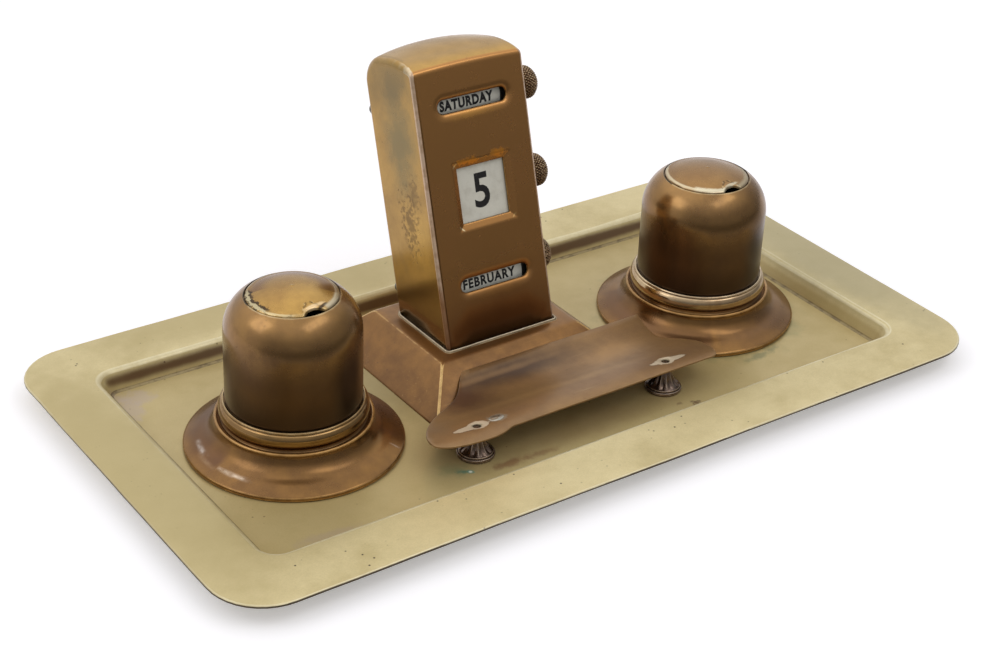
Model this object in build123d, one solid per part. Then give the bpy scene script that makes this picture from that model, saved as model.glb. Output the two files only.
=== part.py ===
from build123d import *
import os
from math import cos, hypot, pi, radians, sin, sqrt, tan

# Desk inkstand: a pressed brass tray with two domed inkwells, a leaning calendar
# tower on a hipped plinth and a curved pen rest. Millimetres, +Z up, the front
# towards -Y. The origin is the centre of the tray's flat underside.

# Clearances
lift_gap = 0.3          # between curved faces that lift apart
bearing_gap = 0.05      # radial, round a turning spindle
wall_hole_gap = 0.5     # radial, where a spindle passes the tower's wall
seam_gap = 0.02         # between soldered or pressed pieces

# Tray
tray_length = 330.0
tray_depth = 180.2
tray_height = 8.8
tray_sheet = 1.2
tray_rim = 23.8
tray_corner_radius = 21.0
well_wall_run = 4.1
well_corner_radius = 8.0
well_lip_radius = 1.8
well_root_radius = 1.4

# Inkwell foot, a spun flared skirt with a beaded neck
inkwell_inset = 71.6      # from the tray's end to the inkwell's axis
foot_radius = 39.9
foot_sheet = 1.0
foot_edge_height = 1.2
foot_toe_rise = 1.3
foot_toe_run = 1.3
foot_sweep_rise = 2.6
foot_sweep_run = 4.9
foot_waist_rise = 4.2
foot_waist_run = 8.9
foot_throat_rise = 6.8
foot_throat_run = 11.3
neck_radius = 27.7
neck_height = 11.0
neck_bead = 0.6

# Collar, the turned ring that carries the cap
collar_base_radius = 25.6
collar_base_height = 1.0
collar_bulge = 1.4
collar_height = 6.8
collar_ledge_drop = 0.6
spigot_sheet = 1.2
spigot_height = 9.0

# Cap, the domed brass cover
cap_radius = 24.6
cap_sheet = 0.8
cap_height = 41.3
cap_shoulder_radius = 16.0
cap_opening_radius = 16.8

# Lid and its seat in the cap's opening
lid_gap = 0.4
lid_sheet = 0.8
lid_rise = 3.5
lid_proud = 0.2
lid_notch_radius = 6.0
lid_notch_depth = 2.4
seat_width = 1.5
seat_sheet = 0.8
seat_notch_width = 11.0

# Glass liner
glass_wall = 2.4
glass_base = 3.0
glass_height = 44.0
glass_base_fillet = 3.0
glass_mouth_chamfer = 1.0

# Plinth, a hipped shell with a flat top
plinth_height = 13.2
plinth_sheet = 1.0
plinth_side_margin = 6.8   # from the tower's side to the top's edge
plinth_top_front = -2.0
plinth_back_margin = 6.3
plinth_side_run = 15.2
plinth_front_run = 20.2
plinth_back_run = 13.0
plinth_lip_height = 0.7
plinth_lip_sheet = 0.6

# Calendar tower
tower_lean = 16.08      # degrees, backwards
tower_front = 4.0       # the front face's foot at the plinth's top
tower_width = 49.4
tower_depth = 34.3
tower_face_height = 105.6
tower_crown_rise = 7.2
tower_back_roll = 9.9
tower_sheet = 0.8
tower_shoulder_radius = 4.0
tower_edge_radius = 1.3

# Windows in the tower's face
slot_length = 30.5
slot_height = 5.2
slot_lip = 0.7
weekday_level = 91.0
month_level = 22.6
date_level = 56.6
date_window = 21.2
date_bezel_flare = 2.2
date_bezel_depth = 1.8

# Back cover and its screws
back_flange = 5.2
back_opening_top = 94.0
back_opening_foot = 15.0
cover_overlap = 3.4
cover_sheet = 0.8
cover_screw_radius = 1.2
cover_screw_head_radius = 2.2
cover_screw_head_height = 1.0
cover_screw_length = 2.6
cover_screw_inset = 1.7

# Movement frame inside the tower
frame_side_gap = 1.9
frame_sheet = 1.0
frame_front_margin = 3.0
frame_back_margin = 1.2
frame_top = 101.0
frame_foot_length = 8.0
pillar_radius = 2.0
frame_screw_radius = 1.2
frame_screw_head_radius = 2.2
frame_screw_head_height = 1.2
frame_screw_inset = 5.0
base_plate_sheet = 1.0
base_plate_margin = 3.0

# Drums and printed bands
spindle_radius = 1.5
strip_setback = 3.3
weekday_pitch = 7.0
weekday_count = 7
month_pitch = 6.5
month_count = 12
band_sheet = 0.3
drum_sheet = 0.8
drum_end_space = 3.5
hub_radius = 3.2
drum_end_gap = 0.3

# Date band, its two rollers and the plate behind the window
roll_front_space = 5.5
roll_gap = 1.4
roll_back_space = 3.0
roller_core_share = 0.41   # of the two rolls' mean diameter
front_roll_share = 0.533
date_band_width = 28.0
platen_sheet = 0.9
platen_height = 27.0
guide_radius = 1.2
guide_spread = 16.5

# Knobs
knob_radius = 6.5
knob_width = 7.0
knob_standoff = 3.8
knob_neck_radius = 2.6
knob_edge_radius = 2.6
washer_radius = 3.2
washer_sheet = 0.5

# Pen rest, a curved sheet on two turned feet. Its section is run forwards from
# the back edge against rise; its two ends are across against run forwards.
rest_sheet = 0.9
rest_back = -6.4
rest_back_height = 11.9
rest_section = (
    (0, 0),
    (5.6, -1.9),
    (11.6, -2.9),
    (17.6, -2.6),
    (23.6, -1.3),
    (29.6, 0.3),
    (35.6, 1.2),
    (39.6, 1.3),
    (44.2, 0.6),
)
rest_right_end = (
    (57.9, 0),
    (57.0, 9.4),
    (57.7, 14.9),
    (63.2, 23.2),
    (65.1, 32.8),
    (63.5, 41.1),
    (58.0, 41.9),
)
rest_left_end = (
    (-31.6, 41.9),
    (-40.2, 44.0),
    (-55.1, 42.8),
    (-63.0, 38.9),
    (-61.1, 30.2),
    (-51.0, 19.4),
    (-35.8, 10.9),
    (-27.9, 2.4),
    (-25.3, 0),
)
rest_hole_spread = 43.1
rest_hole_run = 35.6
rest_hole_radius = 1.6
rest_foot_radius = 7.1
rest_foot_disc = 1.3
rest_foot_step = 0.7
rest_foot_cone = 6.0
rest_foot_neck_radius = 2.4

# Levels and radii that follow from the sizes above
inkwell_spread = tray_length / 2 - inkwell_inset
frame_half_span = tower_width / 2 - tower_sheet - frame_side_gap - frame_sheet
drum_half_width = frame_half_span - drum_end_space
back_opening_width = tower_width - 2 * back_flange
floor_level = tray_sheet
neck_level = floor_level + neck_height
deck_level = neck_level + 2 * neck_bead
collar_top = deck_level + collar_height
ledge_level = collar_top - collar_ledge_drop
spigot_radius = cap_radius - cap_sheet - lift_gap
spigot_bore = spigot_radius - spigot_sheet
glass_radius = spigot_bore - 2 * lift_gap
shoulder_level = ledge_level + cap_height - sqrt(
    cap_shoulder_radius**2 - (cap_opening_radius - cap_radius + cap_shoulder_radius) ** 2
)
opening_level = ledge_level + cap_height
lid_radius = cap_opening_radius - lid_gap
plinth_top = floor_level + plinth_height
seat_level = plinth_top - plinth_sheet
weekday_band_radius = weekday_pitch * weekday_count / (2 * pi)
month_band_radius = month_pitch * month_count / (2 * pi)
weekday_depth = tower_sheet + strip_setback + weekday_band_radius
month_depth = tower_sheet + strip_setback + month_band_radius
strip_depth = date_bezel_depth + 2 * lift_gap
platen_depth = strip_depth + band_sheet
guide_depth = platen_depth + guide_radius
tower_half_width = tower_width / 2
tower_footprint_depth = tower_depth / cos(radians(tower_lean))
plinth_top_width = tower_width + 2 * plinth_side_margin
plinth_top_back = tower_front + tower_footprint_depth + plinth_back_margin
roll_diameter = (tower_depth - roll_front_space - roll_gap - roll_back_space) / 2
roller_core_radius = roller_core_share * roll_diameter
front_roll_radius = front_roll_share * roll_diameter
back_roll_radius = roll_diameter - front_roll_radius
date_front_depth = roll_front_space + front_roll_radius
date_back_depth = tower_depth - roll_back_space - back_roll_radius


def tower_place(x=0.0, depth=0.0, level=0.0):
    """A place in the tower's own frame: across, back from the face, up the face."""
    return Pos(0, tower_front, plinth_top) * Rot(-tower_lean, 0, 0) * Pos(x, depth, level)


def tower_box(x_range, depth_range, level_range):
    size = [high - low for low, high in (x_range, depth_range, level_range)]
    middle = [(high + low) / 2 for low, high in (x_range, depth_range, level_range)]
    return tower_place(*middle) * Box(*size)


def above(level):
    """Everything over a horizontal plane, to cut the leaning pieces' feet level."""
    reach = tray_length
    return Pos(0, 0, level + reach / 2) * Box(reach, reach, reach)


def turned(edges):
    """A piece turned about the upright axis from its half section."""
    return revolve(Plane.XZ * make_face(edges), Axis.Z)


def inset_points(points, distance):
    """The same points moved square to their line, towards the axis and the base."""
    moved = []
    for i, (r, z) in enumerate(points):
        r0, z0 = points[max(i - 1, 0)]
        r1, z1 = points[min(i + 1, len(points) - 1)]
        run = hypot(r1 - r0, z1 - z0)
        moved.append((r + distance * (z0 - z1) / run, z + distance * (r1 - r0) / run))
    return moved


def slab(length, depth, radius, level):
    return Plane.XY.offset(level) * RectangleRounded(length, depth, radius)


def well_section(level, spread):
    """The well's outline at a level, grown outwards by a spread."""
    run = well_wall_run * (tray_height - level) / (tray_height - tray_sheet)
    length = tray_length - 2 * (tray_rim + run - spread)
    depth = tray_depth - 2 * (tray_rim + run - spread)
    return slab(length, depth, well_corner_radius - run + spread, level)


def edges_at(piece, level, half_length, half_depth):
    def near(edge):
        middle = edge.center()
        inside = abs(middle.X) < half_length and abs(middle.Y) < half_depth
        return inside and abs(middle.Z - level) < seam_gap / 2

    return [edge for edge in piece.edges() if near(edge)]


def make_tray():
    slope = hypot(well_wall_run, tray_height - tray_sheet) / (tray_height - tray_sheet)
    wall = tray_sheet * slope
    rim_base = slab(tray_length, tray_depth, tray_corner_radius, tray_height - tray_sheet)
    rim = extrude(rim_base, tray_sheet)
    pan = loft([well_section(0, wall), well_section(tray_height, wall)], ruled=True)
    well = loft([well_section(tray_sheet, 0), well_section(tray_height, 0)], ruled=True)
    tray = rim + pan - well
    half_length = tray_length / 2 - tray_rim + wall
    half_depth = tray_depth / 2 - tray_rim + wall
    tray = fillet(edges_at(tray, tray_height, half_length, half_depth), well_lip_radius)
    tray = fillet(edges_at(tray, tray_sheet, half_length, half_depth), well_root_radius)
    return fillet(edges_at(tray, 0, half_length, half_depth), well_root_radius + tray_sheet / 2)


def foot_line():
    """The skirt's outer line, from the rolled edge up to the throat."""
    edge_level = floor_level + foot_edge_height
    steps = (
        (0, 0),
        (foot_toe_run, foot_toe_rise),
        (foot_sweep_run, foot_sweep_rise),
        (foot_waist_run, foot_waist_rise),
        (foot_throat_run, foot_throat_rise),
    )
    line = [(foot_radius - run, edge_level + rise) for run, rise in steps]
    return line + [(neck_radius, neck_level)]


def make_foot():
    outer = foot_line()
    inner = inset_points(outer, foot_sheet)
    heel = (foot_radius - foot_sheet, floor_level)
    toe = (foot_radius, floor_level)
    shelf = neck_level - foot_sheet
    inner_top = (neck_radius - foot_sheet, shelf)
    bead_out = (neck_radius + neck_bead, neck_level + neck_bead)
    bore_top = (spigot_bore, deck_level)
    bore_foot = (spigot_bore, shelf)
    inner_line = [heel] + inner[1:-1] + [inner_top]
    return turned([
        Line(toe, outer[0]),
        Spline(*outer),
        ThreePointArc(outer[-1], bead_out, (neck_radius, deck_level)),
        Line((neck_radius, deck_level), bore_top),
        Line(bore_top, bore_foot),
        Line(bore_foot, inner_top),
        Spline(*reversed(inner_line)),
        Line(heel, toe),
    ])


def make_collar():
    groove_top = deck_level + collar_base_height
    groove_inner = cap_radius + lift_gap
    bulge_middle = (groove_top + collar_top) / 2
    bulge_out = (collar_base_radius + collar_bulge, bulge_middle)
    spigot_top = ledge_level + spigot_height
    base_out = (collar_base_radius, deck_level)
    base_in = (spigot_bore, deck_level)
    arc_foot = (collar_base_radius, groove_top)
    arc_top = (groove_inner, collar_top)
    corners = [
        arc_top,
        (groove_inner, ledge_level),
        (spigot_radius, ledge_level),
        (spigot_radius, spigot_top),
        (spigot_bore, spigot_top),
        base_in,
        base_out,
        arc_foot,
    ]
    return turned([ThreePointArc(arc_foot, bulge_out, arc_top), Polyline(*corners)])


def shoulder_point(radius, inset=0.0):
    """A point of the cap's shoulder arc at a radius, inset by the sheet."""
    middle = cap_radius - cap_shoulder_radius
    rise = sqrt((cap_shoulder_radius - inset) ** 2 - (radius - middle) ** 2)
    return (radius, shoulder_level + rise)


def shoulder_arc(inset=0.0):
    foot = (cap_radius - inset, shoulder_level)
    top = shoulder_point(cap_opening_radius, inset)
    through = shoulder_point((foot[0] + top[0]) / 2 + cap_sheet, inset)
    return foot, ThreePointArc(foot, through, top), top


def make_cap():
    outer_foot, outer_arc, outer_top = shoulder_arc()
    inner_foot, inner_arc, inner_top = shoulder_arc(cap_sheet)
    rim_out = (cap_radius, ledge_level)
    rim_in = (cap_radius - cap_sheet, ledge_level)
    return turned([
        Line(rim_out, outer_foot),
        outer_arc,
        Line(outer_top, inner_top),
        inner_arc,
        Line(inner_foot, rim_in),
        Line(rim_in, rim_out),
    ])


def finger_notch(width_radius, depth, height):
    """A drum that bites into the lid's front edge."""
    reach = lid_radius + width_radius - depth
    return Pos(0, -reach, opening_level) * Cylinder(width_radius, height)


def make_lid():
    edge_level = opening_level + lid_proud
    crown = (lid_radius**2 + lid_rise**2) / (2 * lid_rise)
    top = edge_level + lid_rise
    centre = top - crown

    def dome(radius, inset):
        return (radius, centre + sqrt((crown - inset) ** 2 - radius**2))

    half = lid_radius / 2
    outer_edge, outer_half, outer_top = (dome(r, 0) for r in (lid_radius, half, 0))
    inner_edge, inner_half, inner_top = (dome(r, lid_sheet) for r in (lid_radius, half, 0))
    lid = turned([
        ThreePointArc(outer_edge, outer_half, outer_top),
        Line(outer_top, inner_top),
        ThreePointArc(inner_top, inner_half, inner_edge),
        Line(inner_edge, outer_edge),
    ])
    return lid - finger_notch(lid_notch_radius, lid_notch_depth, 4 * lid_rise)


def make_lid_seat():
    """The open ring under the cap's rim that the lid's edge rests over."""
    rim_in = shoulder_point(cap_opening_radius, cap_sheet)
    inner = cap_opening_radius - seat_width
    outer = cap_opening_radius + seat_sheet
    meet = shoulder_point(outer, cap_sheet)
    ring = turned([Polyline(
        (inner, rim_in[1] - seam_gap),
        (rim_in[0], rim_in[1] - seam_gap),
        (outer, meet[1] - seam_gap),
        (outer, meet[1] - seat_sheet),
        (inner, rim_in[1] - seat_sheet),
        (inner, rim_in[1] - seam_gap),
    )])
    cut = Pos(0, -outer, opening_level) * Box(seat_notch_width, 2 * outer - inner, outer)
    return ring - cut


def edges_level_with(piece, level):
    return [edge for edge in piece.edges() if abs(edge.center().Z - level) < seam_gap]


def make_glass():
    top = floor_level + glass_height
    outer = Pos(0, 0, floor_level + glass_height / 2) * Cylinder(glass_radius, glass_height)
    cavity_height = glass_height - glass_base
    cavity_middle = top - cavity_height / 2
    cavity = Pos(0, 0, cavity_middle) * Cylinder(glass_radius - glass_wall, cavity_height)
    glass = outer - cavity
    glass = fillet(edges_level_with(glass, floor_level), glass_base_fillet)
    return chamfer(edges_level_with(glass, top), glass_mouth_chamfer / 2)


def hipped_block(inset):
    """The plinth's solid form, drawn in on every side by an inset."""
    front_slope = hypot(plinth_front_run, plinth_height) / plinth_height
    side_slope = hypot(plinth_side_run, plinth_height) / plinth_height
    back_slope = hypot(plinth_back_run, plinth_height) / plinth_height
    base = floor_level - (1 if inset else 0)
    sections = []
    for level in (base, plinth_top - inset):
        share = (plinth_top - level) / plinth_height
        half = plinth_top_width / 2 + plinth_side_run * share - inset * side_slope
        front = plinth_top_front - plinth_front_run * share + inset * front_slope
        back = plinth_top_back + plinth_back_run * share - inset * back_slope
        outline = Plane.XY.offset(level) * Pos(0, (front + back) / 2) * Rectangle(2 * half, back - front)
        sections.append(outline)
    return loft(sections, ruled=True)


def tower_footprint(margin, low, high):
    """An upright prism round the tower's foot, where it passes the plinth's top."""
    depth = tower_footprint_depth
    middle = tower_front + depth / 2 + (low + high - 2 * plinth_top) / 2 * tan(radians(tower_lean))
    half = depth / 2 + margin
    prism = Pos(0, middle, (low + high) / 2) * Box(tower_width + 2 * margin, 2 * half, high - low)
    back_edges = [edge for edge in prism.edges().filter_by(Axis.Z) if edge.center().Y > middle]
    return fillet(back_edges, tower_shoulder_radius + margin)


def make_plinth():
    shell = hipped_block(0) - hipped_block(plinth_sheet)
    lip_top = plinth_top + plinth_lip_height
    lip = tower_footprint(lift_gap + plinth_lip_sheet, seat_level, lip_top)
    opening = tower_footprint(lift_gap, seat_level - 1, lip_top + 1)
    return shell + lip - opening


def tower_outline():
    """The tower's side section: depth back from the face against level up it."""
    foot = -tower_depth
    crown_top = tower_face_height + tower_crown_rise
    crest = (tower_depth - tower_back_roll, crown_top)
    front = (0, tower_face_height)
    back = (tower_depth, crown_top - tower_back_roll)
    crown = (crest[0] ** 2 + tower_crown_rise**2) / (2 * tower_crown_rise)
    half = crest[0] / 2
    crown_middle = (half, crown_top - crown + sqrt(crown**2 - half**2))
    roll_share = tower_back_roll * sin(radians(45))
    roll_middle = (crest[0] + roll_share, back[1] + roll_share)
    return make_face([
        Line((0, foot), front),
        ThreePointArc(front, crown_middle, crest),
        ThreePointArc(crest, roll_middle, back),
        Line(back, (tower_depth, foot)),
        Line((tower_depth, foot), (0, foot)),
    ])


def tower_block(inset):
    """The tower's solid form, drawn in by an inset."""
    section = tower_outline()
    if inset:
        section = offset(section, -inset, kind=Kind.INTERSECTION)
    half = tower_half_width - inset
    side = Plane(origin=(-half, 0, 0), x_dir=(0, 1, 0), z_dir=(1, 0, 0))
    block = extrude(side * section, 2 * half)
    crest = tower_depth - tower_back_roll

    def on_shoulder(edge):
        middle = edge.center()
        if abs(abs(middle.X) - half) > seam_gap:
            return False
        on_crown = edge.geom_type == GeomType.CIRCLE
        up_the_back = edge.length > tower_depth and middle.Y > crest
        return on_crown or up_the_back

    def round_the_front(edge):
        in_front = all(abs(vertex.Y - inset) < seam_gap for vertex in edge.vertices())
        return in_front and edge.center().Z > 0

    shoulder = [edge for edge in block.edges() if on_shoulder(edge)]
    block = fillet(shoulder, tower_shoulder_radius - inset)
    front_rim = [edge for edge in block.edges() if round_the_front(edge)]
    return tower_place() * fillet(front_rim, tower_edge_radius - inset)


def tower_hollow():
    return (tower_block(0) - tower_block(tower_sheet)) & above(seat_level)


def slot_cutter(level):
    """A stadium through the face, flared at its front edge."""
    across = Plane(origin=(0, 0, 0), x_dir=(1, 0, 0), z_dir=(0, -1, 0))
    shape = SlotOverall(slot_length, slot_height)
    wide = SlotOverall(slot_length + 2 * slot_lip, slot_height + 2 * slot_lip)
    through = extrude(across * shape, tower_sheet + 1, both=True)
    flare = loft([across * wide, across.offset(-slot_lip) * shape], ruled=True)
    return tower_place(0, 0, level) * (through + flare)


def bezel_frustum(grow, front_depth, back_depth):
    """A square frustum that narrows from the face towards the strip."""
    sections = []
    for depth in (front_depth, back_depth):
        flare = date_bezel_flare * (date_bezel_depth - depth) / date_bezel_depth
        side = date_window + 2 * (flare + grow)
        plane = Plane(origin=(0, depth, 0), x_dir=(1, 0, 0), z_dir=(0, -1, 0))
        sections.append(plane * Rectangle(side, side))
    return tower_place(0, 0, date_level) * loft(sections, ruled=True)


def knob_places():
    """Depth and level of each spindle in the tower's frame."""
    return {
        "weekday": (weekday_depth, weekday_level),
        "month": (month_depth, month_level),
        "date": (date_front_depth, date_level),
        "date_return": (date_back_depth, date_level),
    }


def across_rod(radius, low, high, depth, level):
    """A round bar along X at a place in the tower's section."""
    return tower_place((low + high) / 2, depth, level) * Rot(0, 90, 0) * Cylinder(radius, high - low)


def cover_screw_places():
    half = back_opening_width / 2 + cover_screw_inset
    low = back_opening_foot + 2 * cover_screw_head_radius
    high = back_opening_top - 2 * cover_screw_head_radius
    return [(x, level) for x in (-half, half) for level in (low, high)]


def depth_rod(radius, x, low, high, level):
    """A round bar square to the tower's face."""
    return tower_place(x, (low + high) / 2, level) * Rot(90, 0, 0) * Cylinder(radius, high - low)


def cut_windows(case):
    ring = bezel_frustum(tower_sheet, 0, date_bezel_depth)
    case = case + ring - bezel_frustum(0, -1, date_bezel_depth + 1)
    return case - slot_cutter(weekday_level) - slot_cutter(month_level)


def make_tower_case():
    """Front, sides and top in one drawn shell, with a flange round its open back."""
    case = cut_windows(tower_hollow())
    half = back_opening_width / 2
    outside = tower_depth + cover_sheet
    wall_depths = (tower_depth - 2 * tower_sheet, outside)
    case = case - tower_box((-half, half), wall_depths, (back_opening_foot, back_opening_top))
    for depth, level in knob_places().values():
        hole = spindle_radius + wall_hole_gap
        case = case - across_rod(hole, frame_half_span, tower_width, depth, level)
    for x, level in cover_screw_places():
        case = case - depth_rod(cover_screw_radius + seam_gap, x, tower_depth - 2, outside, level)
    return case


def make_back_cover():
    half = back_opening_width / 2 + cover_overlap
    levels = (back_opening_foot - cover_overlap, back_opening_top + cover_overlap)
    cover = tower_box((-half, half), (tower_depth, tower_depth + cover_sheet), levels)
    for x, level in cover_screw_places():
        hole = depth_rod(cover_screw_radius + seam_gap, x, tower_depth - 1, tower_depth + 2, level)
        cover = cover - hole
    return cover & above(plinth_top + plinth_lip_height)


def make_cover_screws():
    screws = []
    outside = tower_depth + cover_sheet
    for x, level in cover_screw_places():
        shank = depth_rod(cover_screw_radius, x, outside - cover_screw_length, outside, level)
        head = depth_rod(cover_screw_head_radius, x, outside, outside + cover_screw_head_height, level)
        screws.append(shank + head)
    return screws


def pillar_places():
    """Spacer bars, clear of the drums and rollers."""
    return (
        (tower_depth - 3 * pillar_radius, weekday_level + 2 * pillar_radius),
        (tower_depth - 3 * pillar_radius, date_level - date_window),
        (3 * pillar_radius, 3 * pillar_radius),
    )


def guide_levels():
    return (date_level - guide_spread, date_level + guide_spread)


def frame_foot_range():
    """Front and back of the frame's foot where it stands on the base plate."""
    slant = tan(radians(tower_lean)) * (seat_level - plinth_top)
    stretch = 1 / cos(radians(tower_lean))
    front = tower_front + slant + frame_front_margin * stretch
    back = tower_front + slant + (tower_depth - tower_sheet - frame_back_margin) * stretch
    return front, back


def make_frame(side):
    inner = side * frame_half_span
    outer = side * (frame_half_span + frame_sheet)
    x_range = (min(inner, outer), max(inner, outer))
    depth_range = (frame_front_margin, tower_depth - tower_sheet - frame_back_margin)
    plate = tower_box(x_range, depth_range, (-tower_depth, frame_top)) & above(seat_level)
    front, back = frame_foot_range()
    toe = side * (frame_half_span - frame_foot_length)
    foot_middle = Pos((toe + outer) / 2, (front + back) / 2, seat_level + frame_sheet / 2)
    plate = plate + foot_middle * Box(abs(outer - toe), back - front, frame_sheet)
    for depth, level in knob_places().values():
        plate = plate - across_rod(spindle_radius + bearing_gap, *x_range, depth, level)
    for x, y in frame_screw_places():
        if x * side > 0:
            plate = plate - frame_screw_hole(x, y)
    return plate


def frame_screw_places():
    front, back = frame_foot_range()
    x = frame_half_span - frame_foot_length / 2
    rows = (front + frame_screw_inset, back - frame_screw_inset)
    return [(side * x, y) for side in (-1, 1) for y in rows]


def frame_screw_hole(x, y):
    depth = 2 * (frame_sheet + base_plate_sheet)
    return Pos(x, y, seat_level) * Cylinder(frame_screw_radius + seam_gap, depth)


def make_pillars():
    half = frame_half_span - seam_gap
    return [across_rod(pillar_radius, -half, half, *place) for place in pillar_places()]


def make_base_plate():
    margin = base_plate_margin + lift_gap + plinth_lip_sheet
    plate = tower_footprint(margin, seat_level - base_plate_sheet, seat_level)
    for x, y in frame_screw_places():
        plate = plate - frame_screw_hole(x, y)
    return plate


def make_frame_screws():
    screws = []
    low = seat_level - base_plate_sheet
    high = seat_level + 2 * frame_sheet
    for x, y in frame_screw_places():
        shank = Pos(x, y, (low + high) / 2) * Cylinder(frame_screw_radius, high - low)
        head_middle = low - frame_screw_head_height / 2
        head = Pos(x, y, head_middle) * Cylinder(frame_screw_head_radius, frame_screw_head_height)
        screws.append(shank + head)
    return screws


def make_spindle(depth, level):
    left = -(frame_half_span + frame_sheet + drum_end_gap)
    return across_rod(spindle_radius, left, knob_outer(), depth, level)


def knob_inner():
    return tower_half_width + knob_standoff


def knob_outer():
    return knob_inner() + knob_width


def make_knob(depth, level):
    """A rounded knurled knob on a slim neck."""
    body = Pos(0, 0, knob_width / 2) * Cylinder(knob_radius, knob_width)
    body = fillet(body.edges(), knob_edge_radius)
    neck_length = knob_standoff - lift_gap
    neck = Pos(0, 0, -neck_length / 2) * Cylinder(knob_neck_radius, neck_length)
    bore = Cylinder(spindle_radius + seam_gap, 4 * knob_width)
    return tower_place(knob_inner(), depth, level) * Rot(0, 90, 0) * (body + neck - bore)


def make_drum(depth, level, radius):
    """A hollow tin drum with a hub at each end."""
    outer = radius - band_sheet - seam_gap
    hub_half = frame_half_span - drum_end_gap
    drum = across_rod(outer, -drum_half_width, drum_half_width, depth, level)
    inner_half = drum_half_width - drum_sheet
    drum = drum - across_rod(outer - drum_sheet, -inner_half, inner_half, depth, level)
    drum = drum + across_rod(hub_radius, -hub_half, hub_half, depth, level)
    return drum - across_rod(spindle_radius + seam_gap, -tower_width, tower_width, depth, level)


def make_ring_band(depth, level, radius, width):
    """A printed strip glued round its drum."""
    half = width / 2
    outer = across_rod(radius, -half, half, depth, level)
    return outer - across_rod(radius - band_sheet, -tower_width, tower_width, depth, level)


def make_roller(depth, level):
    """A solid wooden core that the date band winds on."""
    half = frame_half_span - drum_end_gap
    core = across_rod(roller_core_radius, -half, half, depth, level)
    return core - across_rod(spindle_radius + seam_gap, -tower_width, tower_width, depth, level)


def make_wound_band(depth, level, radius):
    half = date_band_width / 2
    roll = across_rod(radius, -half, half, depth, level)
    return roll - across_rod(roller_core_radius + seam_gap, -tower_width, tower_width, depth, level)


def make_date_strip():
    """The open stretch of the band, from one roll over the guides to the other."""
    low, high = guide_levels()
    half = date_band_width / 2
    wrap = guide_radius + band_sheet
    wrapped = []
    for level, side in ((high, 1), (low, -1)):
        ring = across_rod(wrap, -half, half, guide_depth, level)
        ring = ring - across_rod(guide_radius + seam_gap, -tower_width, tower_width, guide_depth, level)
        levels = sorted((level, level + side * 2 * wrap))
        outer_half = tower_box((-half, half), (0, guide_depth + wrap), levels)
        wrapped.append(ring & outer_half)
    flat = tower_box((-half, half), (strip_depth, strip_depth + band_sheet - seam_gap), (low, high))
    return flat + wrapped[0] + wrapped[1]


def make_platen():
    """The backing plate, bent back at both sides to reach the frames."""
    half_height = platen_height / 2
    levels = (date_level - half_height, date_level + half_height)
    half = frame_half_span - seam_gap
    return tower_box((-half, half), (platen_depth, platen_depth + platen_sheet), levels)


def make_guides():
    half = frame_half_span - seam_gap
    return [across_rod(guide_radius, -half, half, guide_depth, level) for level in guide_levels()]


def make_friction_washers():
    """A sprung washer on each spindle, between its frame and the tower's wall."""
    washers = []
    start = frame_half_span + frame_sheet
    for depth, level in knob_places().values():
        disc = across_rod(washer_radius, start, start + washer_sheet, depth, level)
        bore = across_rod(spindle_radius + bearing_gap, start, tower_width, depth, level)
        washers.append(disc - bore)
    return washers


def rest_curves():
    """The sheet's upper line from back to front, and its lower line below it."""
    upper = [(rest_back - run, rest_back_height + rise) for run, rise in rest_section]
    lower = [(y, z - rest_sheet) for y, z in upper]
    return upper, lower


def rest_prism(edges):
    """A prism along X across the whole pen rest from a section of it."""
    start = Plane(origin=(-tray_length / 4, 0, 0), x_dir=(0, 1, 0), z_dir=(1, 0, 0))
    return extrude(start * make_face(edges), tray_length / 2)


def make_rest_sheet():
    upper, lower = rest_curves()
    return rest_prism([
        Spline(*upper),
        Line(upper[-1], lower[-1]),
        Spline(*reversed(lower)),
        Line(lower[0], upper[0]),
    ])


def rest_plan():
    """The pen rest seen from above, with its two scrolled ends."""
    right = [(x, rest_back - run) for x, run in rest_right_end]
    left = [(x, rest_back - run) for x, run in rest_left_end]
    return make_face([
        Spline(*right),
        Line(right[-1], left[0]),
        Spline(*left),
        Line(left[-1], right[0]),
    ])


def rest_hole_places():
    return [(side * rest_hole_spread, rest_back - rest_hole_run) for side in (-1, 1)]


def make_pen_rest():
    plan = extrude(rest_plan(), tray_length / 2)
    rest = make_rest_sheet() & plan
    rest = rest - hipped_block(0)
    for x, y in rest_hole_places():
        rest = rest - Pos(x, y, plinth_top) * Cylinder(rest_hole_radius, tray_length)
    return rest


def over_rest():
    """Everything over the pen rest's lower face, to shape the feet's tops."""
    lower = [(y, z - seam_gap) for y, z in rest_curves()[1]]
    high_back = (lower[0][0], tray_depth)
    high_front = (lower[-1][0], tray_depth)
    return rest_prism([Spline(*lower), Polyline(lower[-1], high_front, high_back, lower[0])])


def make_rest_foot(x, y):
    """A turned button foot: a disc, a step and a cone with a short neck."""
    disc_top = floor_level + rest_foot_disc
    step_top = disc_top + rest_foot_step
    cone_top = step_top + rest_foot_cone
    neck_top = rest_back_height + rest_foot_neck_radius
    step_radius = rest_foot_radius - rest_foot_step
    foot = turned([Polyline(
        (0, floor_level),
        (rest_foot_radius, floor_level),
        (rest_foot_radius, disc_top),
        (step_radius, disc_top),
        (step_radius, step_top),
        (rest_foot_neck_radius, cone_top),
        (rest_foot_neck_radius, neck_top),
        (0, neck_top),
        (0, floor_level),
    )])
    return Pos(x, y, 0) * foot - over_rest()


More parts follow.
